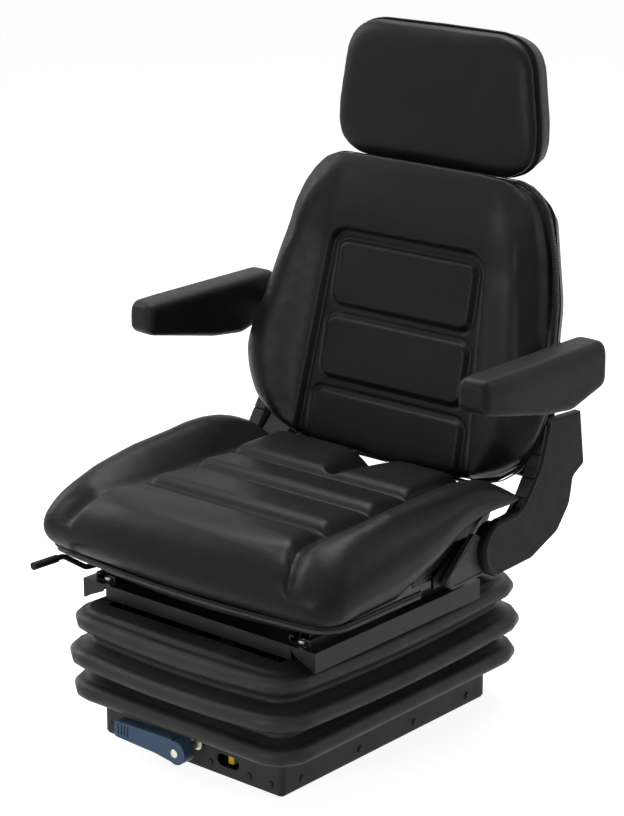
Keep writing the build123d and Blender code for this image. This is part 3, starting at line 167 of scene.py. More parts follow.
def pillow(name, outline, rings, fill, front, back, place, material):
    """A closed padded form: rings of an outline, each set in and raised between two surfaces."""
    middle = (outline.max(axis=0) + outline.min(axis=0)) / 2
    half = (outline.max(axis=0) - outline.min(axis=0)) / 2
    count = len(outline)
    shrink = [(1 - inset / half, level) for inset, level in rings]
    first, last = shrink[0], shrink[-1]
    stack = [(first[0] * f, first[1]) for f in np.linspace(0.03, 0.93, fill)]
    stack += shrink
    stack += [(last[0] * f, last[1]) for f in np.linspace(0.97, 0.02, fill)]
    points = []
    for scale, level in stack:
        flat = middle + (outline - middle) * scale
        u, w = flat[:, 0], flat[:, 1]
        low, high = back(u, w), front(u, w)
        points.append(place(u, w, low + level * (high - low)))
    points = np.vstack(points)
    faces = ring_faces(len(stack), count)
    faces.append(tuple(range(count))[::-1])
    top = (len(stack) - 1) * count
    faces.append(tuple(range(top, top + count)))
    return mesh_piece(name, points, faces, material)


def roll(inset, level, steps):
    """Rings of a quarter turn from the side (inset 0, given level) up to the crown."""
    turn = np.linspace(0, math.pi / 2, steps)[1:]
    return [(inset * (1 - math.cos(a)), level + (1 - level) * math.sin(a)) for a in turn]


def take_mesh(piece):
    """Gives a piece the mesh that its modifiers make, and drops them."""
    depsgraph = bpy.context.evaluated_depsgraph_get()
    mesh = bpy.data.meshes.new_from_object(piece.evaluated_get(depsgraph))
    piece.modifiers.clear()
    piece.data = mesh
    piece.data.polygons.foreach_set("use_smooth", [True] * len(mesh.polygons))


def coordinates(mesh):
    """A mesh's points as an array."""
    values = np.zeros(len(mesh.vertices) * 3)
    mesh.vertices.foreach_get("co", values)
    return values.reshape(-1, 3)


def remesh(piece, voxel):
    """Even quads all over a piece."""
    modifier = piece.modifiers.new("Remesh", "REMESH")
    modifier.mode = "VOXEL"
    modifier.voxel_size = voxel * MM
    take_mesh(piece)
    modifier = piece.modifiers.new("Smooth", "SMOOTH")
    modifier.iterations = 3
    take_mesh(piece)


def evened(mesh, move):
    """Evens out the points' moves over the mesh, as foam does under a stretched cover."""
    pairs = np.zeros(len(mesh.edges) * 2, int)
    mesh.edges.foreach_get("vertices", pairs)
    one, other = pairs.reshape(-1, 2).T
    count = np.bincount(pairs, minlength=len(move))[:, None]
    for _ in range(60):
        near = np.zeros_like(move)
        for axis in range(3):
            near[:, axis] = np.bincount(one, move[other, axis], len(move))
            near[:, axis] += np.bincount(other, move[one, axis], len(move))
        move = (move + near / count) / 2
    return move


def puff(piece, pressure, cap):
    """Fills a piece like a stuffed cover: a short cloth run, with each point's move capped."""
    rest = coordinates(piece.data)
    cloth = piece.modifiers.new("Cloth", "CLOTH")
    cloth.settings.quality = 4
    cloth.settings.mass = 0.4
    cloth.settings.tension_stiffness = 30
    cloth.settings.compression_stiffness = 30
    cloth.settings.bending_stiffness = 2
    cloth.settings.use_pressure = True
    cloth.settings.uniform_pressure_force = pressure
    cloth.settings.effector_weights.gravity = 0
    cloth.point_cache.frame_start = 1
    cloth.point_cache.frame_end = 20
    for number in range(1, 21):
        scene.frame_set(number)
    depsgraph = bpy.context.evaluated_depsgraph_get()
    swollen = coordinates(piece.evaluated_get(depsgraph).data)
    piece.modifiers.clear()
    scene.frame_set(1)
    move = evened(piece.data, swollen - rest)
    length = np.maximum(np.linalg.norm(move, axis=1, keepdims=True), 1e-9)
    moved = rest + move * np.minimum(1.0, cap * MM / length)
    piece.data.vertices.foreach_set("co", moved.ravel())
    piece.data.update()


def subdivide(piece):
    """One level of smooth subdivision."""
    modifier = piece.modifiers.new("Subdivision", "SUBSURF")
    modifier.levels = 1
    modifier.render_levels = 1
    take_mesh(piece)


def emboss(piece, origin, lean, depth):
    """Presses sewn channels into the side of a piece that faces out of its plane."""
    points = coordinates(piece.data) / MM
    normals = np.array([vertex.normal for vertex in piece.data.vertices])
    up = np.array([0.0, math.sin(lean), math.cos(lean)])
    out = np.array([0.0, -math.cos(lean), math.sin(lean)])
    local = points - origin
    facing = smooth(0.15, 0.6, normals @ out)
    amount = depth(local[:, 0], local @ up) * facing
    points += out * amount[:, None]
    piece.data.vertices.foreach_set("co", (points * MM).ravel())
    piece.data.update()


def tube(name, path, radius, material, closed=True, sides=10):
    """A round cord along a path in millimetres."""
    path = np.asarray(path, float)
    ahead = np.roll(path, -1, axis=0) - np.roll(path, 1, axis=0)
    if not closed:
        ahead[0] = path[1] - path[0]
        ahead[-1] = path[-1] - path[-2]
    ahead /= np.linalg.norm(ahead, axis=1, keepdims=True)
    normal = np.cross(ahead[0], [0.3, 0.2, 0.93])
    points = []
    for centre, direction in zip(path, ahead):
        normal = normal - direction * (normal @ direction)
        normal /= np.linalg.norm(normal)
        other = np.cross(direction, normal)
        for a in np.linspace(0, 2 * math.pi, sides, endpoint=False):
            points.append(centre + radius * (math.cos(a) * normal + math.sin(a) * other))
    faces = ring_faces(len(path), sides, closed)
    if not closed:
        faces.append(tuple(range(sides))[::-1])
        faces.append(tuple(range(len(points) - sides, len(points))))
    return mesh_piece(name, points, faces, material)


BOX_FACES = ((0, 3, 2, 1), (4, 5, 6, 7), (0, 1, 5, 4), (1, 2, 6, 5), (2, 3, 7, 6), (3, 0, 4, 7))
TOOTH_PITCH = 2.8
TOOTH_LENGTH = 1.6
TOOTH_WIDTH = 5.2
TOOTH_HEIGHT = 1.3


def zip_teeth(name, path, outward, material, closed=True):
    """Fine teeth along a path, each one a small block that stands outwards."""
    both = np.hstack([path, outward])
    steps = np.linalg.norm(np.diff(np.asarray(path), axis=0), axis=1)
    both = resampled(both, int(steps.sum() / TOOTH_PITCH), closed)
    points = []
    faces = []
    for i in range(1, len(both) - 1):
        centre, out = both[i, :3], both[i, 3:]
        ahead = both[i + 1, :3] - both[i - 1, :3]
        ahead /= np.linalg.norm(ahead)
        out = out - ahead * (out @ ahead)
        out /= np.linalg.norm(out)
        across = np.cross(ahead, out)
        first = len(points)
        for level in (0, 1):
            for a, b in ((-1, -1), (1, -1), (1, 1), (-1, 1)):
                foot = centre + ahead * a * TOOTH_LENGTH / 2 + across * b * TOOTH_WIDTH / 2
                points.append(foot + out * level * TOOTH_HEIGHT)
        for quad in BOX_FACES:
            faces.append(tuple(first + corner for corner in quad))
    return mesh_piece(name, points, faces, material)


def flat_outward(path):
    """Level directions that point away from the middle of a path."""
    ahead = np.gradient(np.asarray(path), axis=0)
    out = np.stack([ahead[:, 1], -ahead[:, 0], 0 * ahead[:, 0]], axis=1)
    out /= np.linalg.norm(out, axis=1, keepdims=True)
    return out


def dress(piece, body, slot_name, *replaced):
    """Rides a piece on a body and says which nodes it stands for."""
    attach(piece, body)
    if replaced:
        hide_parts(*replaced)


# Materials
class Shader:
    """A node material being put together."""

    def __init__(self, name):
        self.material = bpy.data.materials.new(name)
        self.material.use_nodes = True
        self.tree = self.material.node_tree
        self.surface = self.tree.nodes["Principled BSDF"]
        coordinates_node = self.tree.nodes.new("ShaderNodeTexCoord")
        self.place = coordinates_node.outputs["Object"]

    def link(self, source, target):
        """Joins two sockets."""
        self.tree.links.new(source, target)

    def noise(self, scale, detail=3.0, roughness=0.55):
        """Cloudy noise, with scale in cells for each metre."""
        node = self.tree.nodes.new("ShaderNodeTexNoise")
        node.inputs["Scale"].default_value = scale
        node.inputs["Detail"].default_value = detail
        node.inputs["Roughness"].default_value = roughness
        self.link(self.place, node.inputs["Vector"])
        return node.outputs["Fac"]

    def cells(self, scale):
        """Cells like leather grain, with scale in cells for each metre."""
        node = self.tree.nodes.new("ShaderNodeTexVoronoi")
        node.feature = "DISTANCE_TO_EDGE"
        node.inputs["Scale"].default_value = scale
        self.link(self.place, node.inputs["Vector"])
        return node.outputs["Distance"]

    def spread(self, value, low, high):
        """Maps the usual range of noise to another range."""
        node = self.tree.nodes.new("ShaderNodeMapRange")
        node.inputs["From Min"].default_value = 0.3
        node.inputs["From Max"].default_value = 0.7
        node.inputs["To Min"].default_value = low
        node.inputs["To Max"].default_value = high
        self.link(value, node.inputs["Value"])
        return node.outputs["Result"]

    def clouded(self, scale, dark, light, detail=3.0):
        """Mixes two colours by cloudy noise."""
        value = self.spread(self.noise(scale, detail), 0.0, 1.0)
        node = self.tree.nodes.new("ShaderNodeMix")
        node.data_type = "RGBA"
        node.inputs["A"].default_value = (*dark, 1)
        node.inputs["B"].default_value = (*light, 1)
        self.link(value, node.inputs["Factor"])
        self.link(node.outputs["Result"], self.surface.inputs["Base Color"])

    def rough(self, scale, low, high, detail=3.0):
        """Lets the roughness wander between two values."""
        value = self.spread(self.noise(scale, detail), low, high)
        self.link(value, self.surface.inputs["Roughness"])

    def shine(self, level):
        """Sets how strongly the surface mirrors."""
        self.surface.inputs["Specular IOR Level"].default_value = level

    def bump(self, height, distance, strength, under=None):
        """Adds relief of a given depth in metres."""
        node = self.tree.nodes.new("ShaderNodeBump")
        node.inputs["Distance"].default_value = distance
        node.inputs["Strength"].default_value = strength
        self.link(height, node.inputs["Height"])
        if under is not None:
            self.link(under, node.inputs["Normal"])
        self.link(node.outputs["Normal"], self.surface.inputs["Normal"])
        return node.outputs["Normal"]


def leatherette():
    """Black vinyl with a fine pebbled grain."""
    shader = Shader("leatherette")
    shader.clouded(9.0, (0.005, 0.0051, 0.0054), (0.008, 0.0081, 0.0084))
    shader.rough(60.0, 0.36, 0.44)
    shader.shine(0.11)
    grain = shader.bump(shader.cells(950.0), 0.00012, 0.5)
    shader.bump(shader.noise(26.0, 1.0), 0.0006, 0.1, grain)
    return shader.material


def grained_plastic(name, dark, light, grain, relief, roughness=0.5, shine=0.17):
    """Moulded plastic with a spark-eroded grain."""
    shader = Shader(name)
    shader.clouded(14.0, dark, light)
    shader.rough(90.0, roughness - 0.05, roughness + 0.06)
    shader.shine(shine)
    fine = shader.bump(shader.noise(grain, 2.0), relief, 0.6)
    shader.bump(shader.noise(28.0, 1.0), 0.0006, 0.12, fine)
    return shader.material


def rubber():
    """Moulded rubber with a faint dusty bloom."""
    shader = Shader("bellows_rubber")
    shader.clouded(11.0, (0.013, 0.0132, 0.014), (0.026, 0.026, 0.027), 5.0)
    shader.rough(40.0, 0.42, 0.55, 4.0)
    shader.shine(0.2)
    fine = shader.bump(shader.noise(700.0, 2.0), 0.00008, 0.5)
    shader.bump(shader.noise(22.0, 2.0), 0.0016, 0.2, fine)
    return shader.material


def painted_steel():
    """Black paint over pressed steel, with a faint orange peel."""
    shader = Shader("painted_steel")
    shader.clouded(18.0, (0.005, 0.0051, 0.0055), (0.01, 0.0101, 0.0105), 4.0)
    shader.rough(50.0, 0.3, 0.44, 4.0)
    shader.shine(0.2)
    shader.bump(shader.noise(320.0, 2.0), 0.00008, 0.5)
    return shader.material


def metal(name, dark, light, low, high):
    """Bare or plated metal with cloudy colour."""
    shader = Shader(name)
    shader.surface.inputs["Metallic"].default_value = 1.0
    shader.clouded(60.0, dark, light, 4.0)
    shader.rough(200.0, low, high)
    shader.bump(shader.noise(1500.0, 2.0), 0.00003, 0.4)
    return shader.material


def seen_rays(tree):
    """1 for rays from the camera, or by way of a mirror or glass."""
    path = tree.nodes.new("ShaderNodeLightPath")
    total = path.outputs["Is Camera Ray"]
    for name in ("Is Glossy Ray", "Is Transmission Ray"):
        most = tree.nodes.new("ShaderNodeMath")
        most.operation = "MAXIMUM"
        tree.links.new(total, most.inputs[0])
        tree.links.new(path.outputs[name], most.inputs[1])
        total = most.outputs[0]
    return total


def white_floor():
    """Studio floor, near white to the camera, that keeps a soft shadow."""
    shader = Shader("studio_floor")
    tree = shader.tree
    shader.clouded(2.0, (0.4, 0.4, 0.4), (0.42, 0.42, 0.42))
    shader.surface.inputs["Roughness"].default_value = 0.9
    glow = tree.nodes.new("ShaderNodeEmission")
    less = tree.nodes.new("ShaderNodeMath")
    less.operation = "MULTIPLY"
    less.inputs[1].default_value = 0.88
    shader.link(seen_rays(tree), less.inputs[0])
    shader.link(less.outputs[0], glow.inputs["Strength"])
    both = tree.nodes.new("ShaderNodeAddShader")
    shader.link(shader.surface.outputs["BSDF"], both.inputs[0])
    shader.link(glow.outputs["Emission"], both.inputs[1])
    shader.link(both.outputs["Shader"], tree.nodes["Material Output"].inputs["Surface"])
    return shader.material


LEATHER = leatherette()
RUBBER = rubber()
STEEL = painted_steel()
COVER_PLASTIC = grained_plastic(
    "cover_plastic", (0.006, 0.0062, 0.0066), (0.01, 0.0102, 0.0107), 1400.0, 0.00012, 0.5, 0.11
)
SHELL_PLASTIC = grained_plastic(
    "shell_plastic", (0.012, 0.0122, 0.0128), (0.018, 0.0182, 0.019), 800.0, 0.0003, 0.5
)
STRIP_PLASTIC = grained_plastic(
    "strip_plastic", (0.013, 0.0133, 0.014), (0.018, 0.0183, 0.019), 1500.0, 0.0001
)
FOAM_SKIN = grained_plastic(
    "armrest_skin", (0.006, 0.0062, 0.0066), (0.01, 0.0102, 0.0107), 1100.0, 0.00012, 0.46, 0.12
)
LEVER_PLASTIC = grained_plastic(
    "lever_plastic", (0.066, 0.068, 0.072), (0.08, 0.082, 0.086), 1300.0, 0.0001, 0.45
)
HANDLE_PLASTIC = grained_plastic(
    "handle_plastic", (0.045, 0.082, 0.14), (0.06, 0.104, 0.17), 1200.0, 0.0001, 0.42
)
MARK_PLASTIC = grained_plastic(
    "mark_plastic", (0.72, 0.5, 0.03), (0.8, 0.56, 0.05), 1200.0, 0.00005, 0.35
)
RIVET_PLASTIC = grained_plastic(
    "rivet_plastic", (0.014, 0.0142, 0.015), (0.02, 0.0203, 0.021), 1200.0, 0.00005, 0.35
)
NYLON = grained_plastic("roller_nylon", (0.6, 0.59, 0.55), (0.7, 0.69, 0.65), 900.0, 0.00005, 0.4)
ZIP_TAPE = grained_plastic(
    "zip_tape", (0.014, 0.0142, 0.015), (0.03, 0.0302, 0.031), 2200.0, 0.0003, 0.6
)
ZIP_TEETH = grained_plastic(
    "zip_teeth", (0.035, 0.0355, 0.037), (0.05, 0.0505, 0.052), 900.0, 0.00005, 0.35, 0.4
)
ZINC = metal("zinc_plate", (0.5, 0.48, 0.4), (0.66, 0.64, 0.58), 0.25, 0.4)
CHROME = metal("hard_chrome", (0.62, 0.63, 0.64), (0.72, 0.73, 0.74), 0.08, 0.16)
SPRING_STEEL = metal("spring_steel", (0.1, 0.1, 0.105), (0.18, 0.18, 0.185), 0.35, 0.5)

SLOT_MATERIALS = {
    "steel_black": STEEL,
    "bellows_rubber": RUBBER,
    "rivet_plastic": RIVET_PLASTIC,
    "plastic_black": COVER_PLASTIC,
    "plastic_grey": STRIP_PLASTIC,
    "roller_plastic": NYLON,
    "zinc": ZINC,
    "chrome": CHROME,
    "spring_steel": SPRING_STEEL,
    "mark_yellow": MARK_PLASTIC,
    "handle_blue": HANDLE_PLASTIC,
    "grip_plastic": COVER_PLASTIC,
    "lever_grey": LEVER_PLASTIC,
    "leatherette": LEATHER,
    "zip_plastic": ZIP_TAPE,
    "armrest_foam": FOAM_SKIN,
}


def dress_nodes():
    """Gives each carried-over node its material."""
    slots = {part["node"]: part["material_slot"] for part in frame["record"]["subparts"]}
    for name, piece in nodes.items():
        material = SLOT_MATERIALS[slots[name]]
        if name in ("back_shell", "headrest_shell"):
            material = SHELL_PLASTIC
        piece.data.materials.clear()
        piece.data.materials.append(material)


# Camera, lights and floor
def camera():
    """The photograph's viewpoint."""
    data = bpy.data.cameras.new("camera")
    data.sensor_width = 36.0
    data.lens = 115.6
    piece = bpy.data.objects.new("camera", data)
    piece.location = (2.2570, -2.6117, 1.5324)
    aim = Vector((0.0, 0.031, 0.45)) - piece.location
    piece.rotation_euler = aim.to_track_quat("-Z", "Y").to_euler()
    scene.collection.objects.link(piece)
    scene.camera = piece


def softbox(name, place, aim, width, height, power):
    """A rectangular area lamp that looks at a point."""
    data = bpy.data.lights.new(name, "AREA")
    data.shape = "RECTANGLE"
    data.size = width
    data.size_y = height
    data.energy = power
    piece = bpy.data.objects.new(name, data)
    piece.location = place
    piece.rotation_euler = (Vector(aim) - Vector(place)).to_track_quat("-Z", "Y").to_euler()
    scene.collection.objects.link(piece)


def studio():
    """Soft overhead and side lamps, a pale world and a floor."""
    softbox("top_lamp", (-0.45, 0.5, 2.9), (0.0, 0.1, 0.4), 2.3, 2.2, 115)
    softbox("left_lamp", (-2.7, -0.6, 1.7), (0.0, 0.0, 0.45), 1.0, 1.4, 34)
    softbox("front_lamp", (0.1, -3.1, 1.0), (0.0, 0.2, 0.6), 1.2, 0.8, 34)
    softbox("right_lamp", (2.4, 1.9, 1.7), (0.0, 0.1, 0.5), 0.7, 1.6, 14)
    world = bpy.data.worlds.new("world")
    scene.world = world
    world.use_nodes = True
    tree = world.node_tree
    plain = tree.nodes["Background"]
    plain.inputs["Color"].default_value = (1, 1, 1, 1)
    plain.inputs["Strength"].default_value = 0.08
    white = tree.nodes.new("ShaderNodeBackground")
    white.inputs["Color"].default_value = (1, 1, 1, 1)
    white.inputs["Strength"].default_value = 1.0
    mix = tree.nodes.new("ShaderNodeMixShader")
    tree.links.new(seen_rays(tree), mix.inputs["Fac"])
    tree.links.new(plain.outputs["Background"], mix.inputs[1])
    tree.links.new(white.outputs["Background"], mix.inputs[2])
    tree.links.new(mix.outputs["Shader"], tree.nodes["World Output"].inputs["Surface"])
    size = 12.0
    corners = [(-size, -size, 0), (size, -size, 0), (size, size, 0), (-size, size, 0)]
    mesh = bpy.data.meshes.new("floor")
    mesh.from_pydata([(x, y, -0.0005) for x, y, _ in corners], [], [(0, 1, 2, 3)])
    floor = bpy.data.objects.new("floor", mesh)
    scene.collection.objects.link(floor)
    floor.data.materials.append(white_floor())


# Padded forms
def half_outline(points, count, soften=3):
    """A symmetric closed outline from its +u half, listed from bottom centre to top centre."""
    half = resampled(points, count // 2 + 1, closed=False)
    for _ in range(soften):
        half[1:-1] = (half[:-2] + 2 * half[1:-1] + half[2:]) / 4
    other = half[1:-1][::-1] * np.array([-1.0, 1.0])
    return np.vstack([half, other])


def layered(name, layers, place, material):
    """A closed form from rings of (across, along, out) points."""
    count = len(layers[0])
    points = np.vstack([place(layer[:, 0], layer[:, 1], layer[:, 2]) for layer in layers])
    faces = ring_faces(len(layers), count)
    faces.append(tuple(range(count))[::-1])
    top = (len(layers) - 1) * count
    faces.append(tuple(range(top, top + count)))
    return mesh_piece(name, points, faces, material)


def with_height(outline, height):
    """Joins an outline with its height or heights."""
    return np.column_stack([outline, np.broadcast_to(height, len(outline))])


def toward(outline, centre, share):
    """An outline drawn in towards a centre, by a share of its size across and along."""
    return centre + (outline - centre) * (1 - np.asarray(share))


def soften_piece(piece, voxel, pressure, cap):
    """Even quads, a short stuffing run and one level of subdivision."""
    remesh(piece, voxel)
    puff(piece, pressure, cap)
    subdivide(piece)


# Seat cushion
SEAT_HALF = 252.0
SEAT_FRONT = -243.0
SEAT_REAR = 152.0
SEAT_BOW = 22.0
SEAT_UNDERSIDE = 262.5
PAD_LINES = (-133.0, -38.0, 40.0, 190.0)
PAD_FALLS = (0.55, 0.55, 0.2)
PAD_HEIGHT = 13.0
PAD_NOSE = 20.0

# Heights, and the creases' distance from the middle, each as (along, value)
SEAT_CREST = [(-264, 337), (-240, 348), (-215, 358), (-161, 372), (-86, 383), (29, 388)]
SEAT_CREST += [(65, 386), (95, 381), (122, 374), (150, 364), (170, 355), (182, 348)]
SEAT_MIDDLE = [(-268, 340), (-235, 346), (-200, 347), (-133, 346), (-38, 345), (40, 346)]
SEAT_MIDDLE += [(100, 348), (168, 349)]
SEAT_SIDE_RISE = [(-90, 0), (-15, 28), (40, 58), (80, 72), (110, 76), (180, 76)]
SEAT_CREASE = [(-270, 212), (-250, 202), (-222, 186), (-190, 175), (-150, 168), (170, 168)]
FRONT_PAD = [(-268, 7), (-235, 11), (-190, 11), (-155, 8), (-138, 1)]


def value_along(w, stations):
    """Value at each place w, from a list of (place, value)."""
    along, value = zip(*stations)
    return np.interp(w, along, value)


def seat_corners():
    """Plan outline of the seat cushion, bowed at the front."""
    bow = [(x, SEAT_FRONT - SEAT_BOW + SEAT_BOW * (x / SEAT_HALF) ** 2) for x in np.linspace(-196, 196, 9)]
    corners = [(-SEAT_HALF, SEAT_FRONT)] + bow + [(SEAT_HALF, SEAT_FRONT), (SEAT_HALF, SEAT_REAR)]
    corners.append((-SEAT_HALF, SEAT_REAR))
    radii = [20] + [0] * len(bow) + [42, 18, 18]
    return rounded_outline(corners, radii, 280)


def seat_ring(outline, side, front, rear):
    """The plan outline set in by different amounts at its sides, front and rear."""
    u = outline[:, 0] * (1 - side / SEAT_HALF)
    along = np.where(outline[:, 1] < 0, 1 - front / 260.0, 1 - rear / SEAT_REAR)
    return np.column_stack([u, outline[:, 1] * along])


def seat_bottom(u, w):
    """Underside of the cushion, cut away at the sides over the recliners."""
    rise = value_along(w, SEAT_SIDE_RISE)
    return SEAT_UNDERSIDE + rise * smooth(196, 222, np.abs(u))


def seat_top(u, w):
    """Crown of the cushion: side bolsters round a lower middle."""
    crest = value_along(w, SEAT_CREST)
    middle = value_along(w, SEAT_MIDDLE)
    return middle + (crest - middle) * smooth(166, 234, np.abs(u))


def pad_steps(w):
    """Height of the pads along the seat: each rises at its front and falls towards the next."""
    height = value_along(w, FRONT_PAD)
    for line, following, fall in zip(PAD_LINES, PAD_LINES[1:], PAD_FALLS):
        past = w - line
        length = following - line
        front = np.sqrt(np.clip(1 - (1 - np.clip(past / PAD_NOSE, 0, 1)) ** 2, 0, 1))
        slope = 1 - fall * np.clip((past - PAD_NOSE) / (length - PAD_NOSE), 0, 1)
        close = 1 - 0.6 * smooth(length - 12, length, past)
        here = (w >= line) & (w < following)
        height = np.where(here, PAD_HEIGHT * front * slope * close, height)
    return height


def seat_channels(u, w):
    """Raised pads, the valley between the rear pads and the bolsters' inner creases."""
    side = np.abs(u)
    crease = value_along(w, SEAT_CREASE)
    end = np.clip((crease - 6.0 - side) / 16.0, 0, 1)
    inside = np.sqrt(1 - (1 - end) ** 2)
    depth = -5.0 * ridge(side, crease + 2, 13) * smooth(-268, -235, w) * (1 - smooth(135, 170, w))
    behind = np.maximum(w - 42, 0)
    valley = smooth(42, 56, w) * np.exp(-(((u - 20) / (8.0 + 0.2 * behind)) ** 2))
    return depth + pad_steps(w) * inside * (1 - valley) - 0.13 * behind * valley - 3.0


def seat_cushion():
    """Seat cushion with bolsters, sewn pads and a rolled front edge."""
    outline = seat_corners()
    layers = []

    def layer(ring, level):
        low, high = seat_bottom(ring[:, 0], ring[:, 1]), seat_top(ring[:, 0], ring[:, 1])
        layers.append(with_height(ring, low + level * (high - low)))

    for share in np.linspace(0.97, 0.06, 20):
        layer(toward(seat_ring(outline, 6, 24, 12), 0.0, share), 0.0)
    lower = [(2, 22, 4, 0.0), (-3, 14, -6, 0.02), (-8, 6, -14, 0.08), (-12, 0, -20, 0.16)]
    lower.append((-14, -4, -24, 0.26))
    for side, front, rear, level in lower:
        layer(seat_ring(outline, side, front, rear), level)
    for a in np.linspace(0, math.pi / 2, 15):
        turn = 1 - math.cos(a)
        ring = seat_ring(outline, -14 + 54 * turn, -6 + 62 * turn, -26 + 34 * turn)
        layer(ring, 0.36 + 0.64 * math.sin(a))
    rim = seat_ring(outline, 40, 56, 8)
    for share in np.linspace(0.03, 0.98, 22):
        layer(toward(rim, 0.0, share), 1.0)
    piece = layered("seat_cushion_soft", layers, seat_place, LEATHER)
    soften_piece(piece, 4.5, 4.0, 4.0)
    points = coordinates(piece.data) / MM
    normals = np.array([vertex.normal for vertex in piece.data.vertices])
    points[:, 2] += seat_channels(points[:, 0], points[:, 1]) * smooth(0.2, 0.7, normals[:, 2])
    piece.data.vertices.foreach_set("co", (points * MM).ravel())
    piece.data.update()
    dress(piece, "seat", "leatherette", "seat_cushion")


def seat_front_path(side, front, height, last):
    """A line round the front and sides of the cushion's lower edge."""
    ring = seat_ring(seat_corners(), side, front, 0)
    start = np.argmax(ring[:, 1])
    ring = np.roll(ring, -start, axis=0)
    if ring[5, 0] > ring[0, 0]:
        ring = ring[::-1]
    ring = ring[ring[:, 1] < last]
    if ring[0, 0] > 0:
        ring = ring[::-1]
    return np.column_stack([ring, np.full(len(ring), height)])


def seat_seams():
    """Piping and toothed zip under the cushion's lower edge."""
    piping = tube("seat_piping", seat_front_path(-3, 13, 263.5, -40.0), 2.4, LEATHER, closed=False)
    dress(piping, "seat", "leatherette")
    path = seat_front_path(0, 18, 257.5, -44.0)
    tape = tube("seat_zip_tape", path, 3.6, ZIP_TAPE, closed=False)
    dress(tape, "seat", "zip_plastic", "cushion_zip")
    out = flat_outward(path)
    teeth = zip_teeth("seat_zip_teeth", path + out * 2.9, out, ZIP_TEETH, closed=False)
    dress(teeth, "seat", "zip_plastic")


# Back cushion

# Half outlines of the rim and of the widest line in front of it, each as (across, up)
BACK_EDGE = [(0, 0), (150, 0), (196, 14), (226, 36), (244, 66), (254, 112), (252, 190), (246, 270)]
BACK_EDGE += [(232, 335), (212, 388), (192, 414), (160, 427), (0, 427)]
BACK_SIDE = [(0, -2), (146, 1), (184, 15), (219, 32), (243, 52), (262, 86), (271, 120), (267, 158)]
BACK_SIDE += [(254, 200), (246, 240), (237, 290), (223, 345), (209, 383), (191, 411), (172, 425)]
BACK_SIDE += [(150, 434), (120, 437), (0, 438)]
BACK_CENTRE = np.array([0.0, 205.0])

# Half width and crest of the bolsters, each as (up, value)
BACK_WIDTH = [(0, 150), (15, 184), (32, 219), (52, 243), (86, 262), (120, 270), (158, 266), (200, 254)]
BACK_WIDTH += [(240, 245), (290, 234), (345, 217), (390, 197), (420, 160)]
BACK_CREST = [(0, 28), (60, 36), (120, 38), (200, 33), (280, 26), (340, 17), (400, 10), (430, 6)]
PANEL_TOP = 321.0
BACK_PADS = ((2.0, 84.0, 138.0), (104.0, 194.0, 129.0), (211.0, 305.0, 125.0))


def panel_half(w):
    """Half width of the recessed panel."""
    return 160.0 - 22.0 * w / PANEL_TOP


def panel_distance(u, w):
    """Distance to the recessed panel's edge, negative inside."""
    return rounded_box_distance(u, w, panel_half(w), -200, PANEL_TOP, 28)


def back_front(u, w):
    """Crown of the back cushion: bolsters at the sides, a lower middle."""
    away = np.maximum(np.abs(u) - panel_half(w), 0.0)
    width = np.maximum(value_along(w, BACK_WIDTH) - panel_half(w), 20.0)
    crest = value_along(w, BACK_CREST)
    over = smooth(296, 350, w) * (1 - smooth(352, 430, w)) * 6.0
    return 6.0 + over + (crest - 6.0) * smooth(0.0, 0.75, away / width)


def back_channels(u, w):
    """Recessed panel and its three raised pads."""
    depth = -7.0 * (1 - smooth(-3, 5, panel_distance(u, w)))
    depth = depth - 2.0 * ridge(panel_distance(u, w), -3, 3)
    for low, high, half in BACK_PADS:
        away = rounded_box_distance(u, w, half, low, high, 17)
        depth = depth + 6.5 * (1 - smooth(-5, 2, away)) - 2.2 * ridge(away, 4, 2.4)
    return depth


def back_cushion():
    """Back cushion with bolsters, a recessed panel and three pads."""
    edge = half_outline(BACK_EDGE, 300)
    side = half_outline(BACK_SIDE, 300)
    centre = BACK_CENTRE
    layers = [with_height(toward(edge, centre, share), -35.0) for share in np.linspace(0.97, 0.06, 18)]
    for share, t in ((0.02, -34.5), (0.004, -32.0), (0.0, -27.0)):
        layers.append(with_height(toward(edge, centre, share), t))
    for share, t in ((0.12, -21.0), (0.4, -13.0), (0.8, -4.0), (1.0, 3.0)):
        layers.append(with_height(edge + (side - edge) * share, t))
    for a in np.linspace(0, math.pi / 2, 14)[1:]:
        turn = 1 - math.cos(a)
        ring = toward(side, centre, (58 * turn / 262.0, 56 * turn / 214.0))
        front = back_front(ring[:, 0], ring[:, 1])
        layers.append(with_height(ring, 3.0 + (front - 3.0) * math.sin(a)))
    for share in np.linspace(0.03, 0.98, 22):
        inner = toward(ring, centre, share)
        layers.append(with_height(inner, back_front(inner[:, 0], inner[:, 1])))
    piece = layered("back_cushion_soft", layers, back_place, LEATHER)
    soften_piece(piece, 4.5, 4.0, 4.0)
    emboss(piece, BACK_ORIGIN, BACK_LEAN, back_channels)
    dress(piece, "backrest", "leatherette", "back_cushion")


def back_seams():
    """Piping and zip teeth round the backrest's rim."""
    edge = half_outline(BACK_EDGE, 300)
    path = back_place(edge[:, 0] * 1.004, edge[:, 1], np.full(len(edge), -17.0))
    piping = tube("back_piping", path, 2.0, LEATHER)
    dress(piping, "backrest", "leatherette")
    ring = toward(edge, BACK_CENTRE, -0.012)
    ahead = np.roll(ring, -1, axis=0) - np.roll(ring, 1, axis=0)
    ahead /= np.linalg.norm(ahead, axis=1, keepdims=True)
    out = back_place(ahead[:, 1], -ahead[:, 0], np.zeros(len(ring))) - BACK_ORIGIN
    path = back_place(ring[:, 0], ring[:, 1], np.full(len(ring), -21.5))
    teeth = zip_teeth("back_zip_teeth", path, out, ZIP_TEETH)
    dress(teeth, "backrest", "zip_plastic")


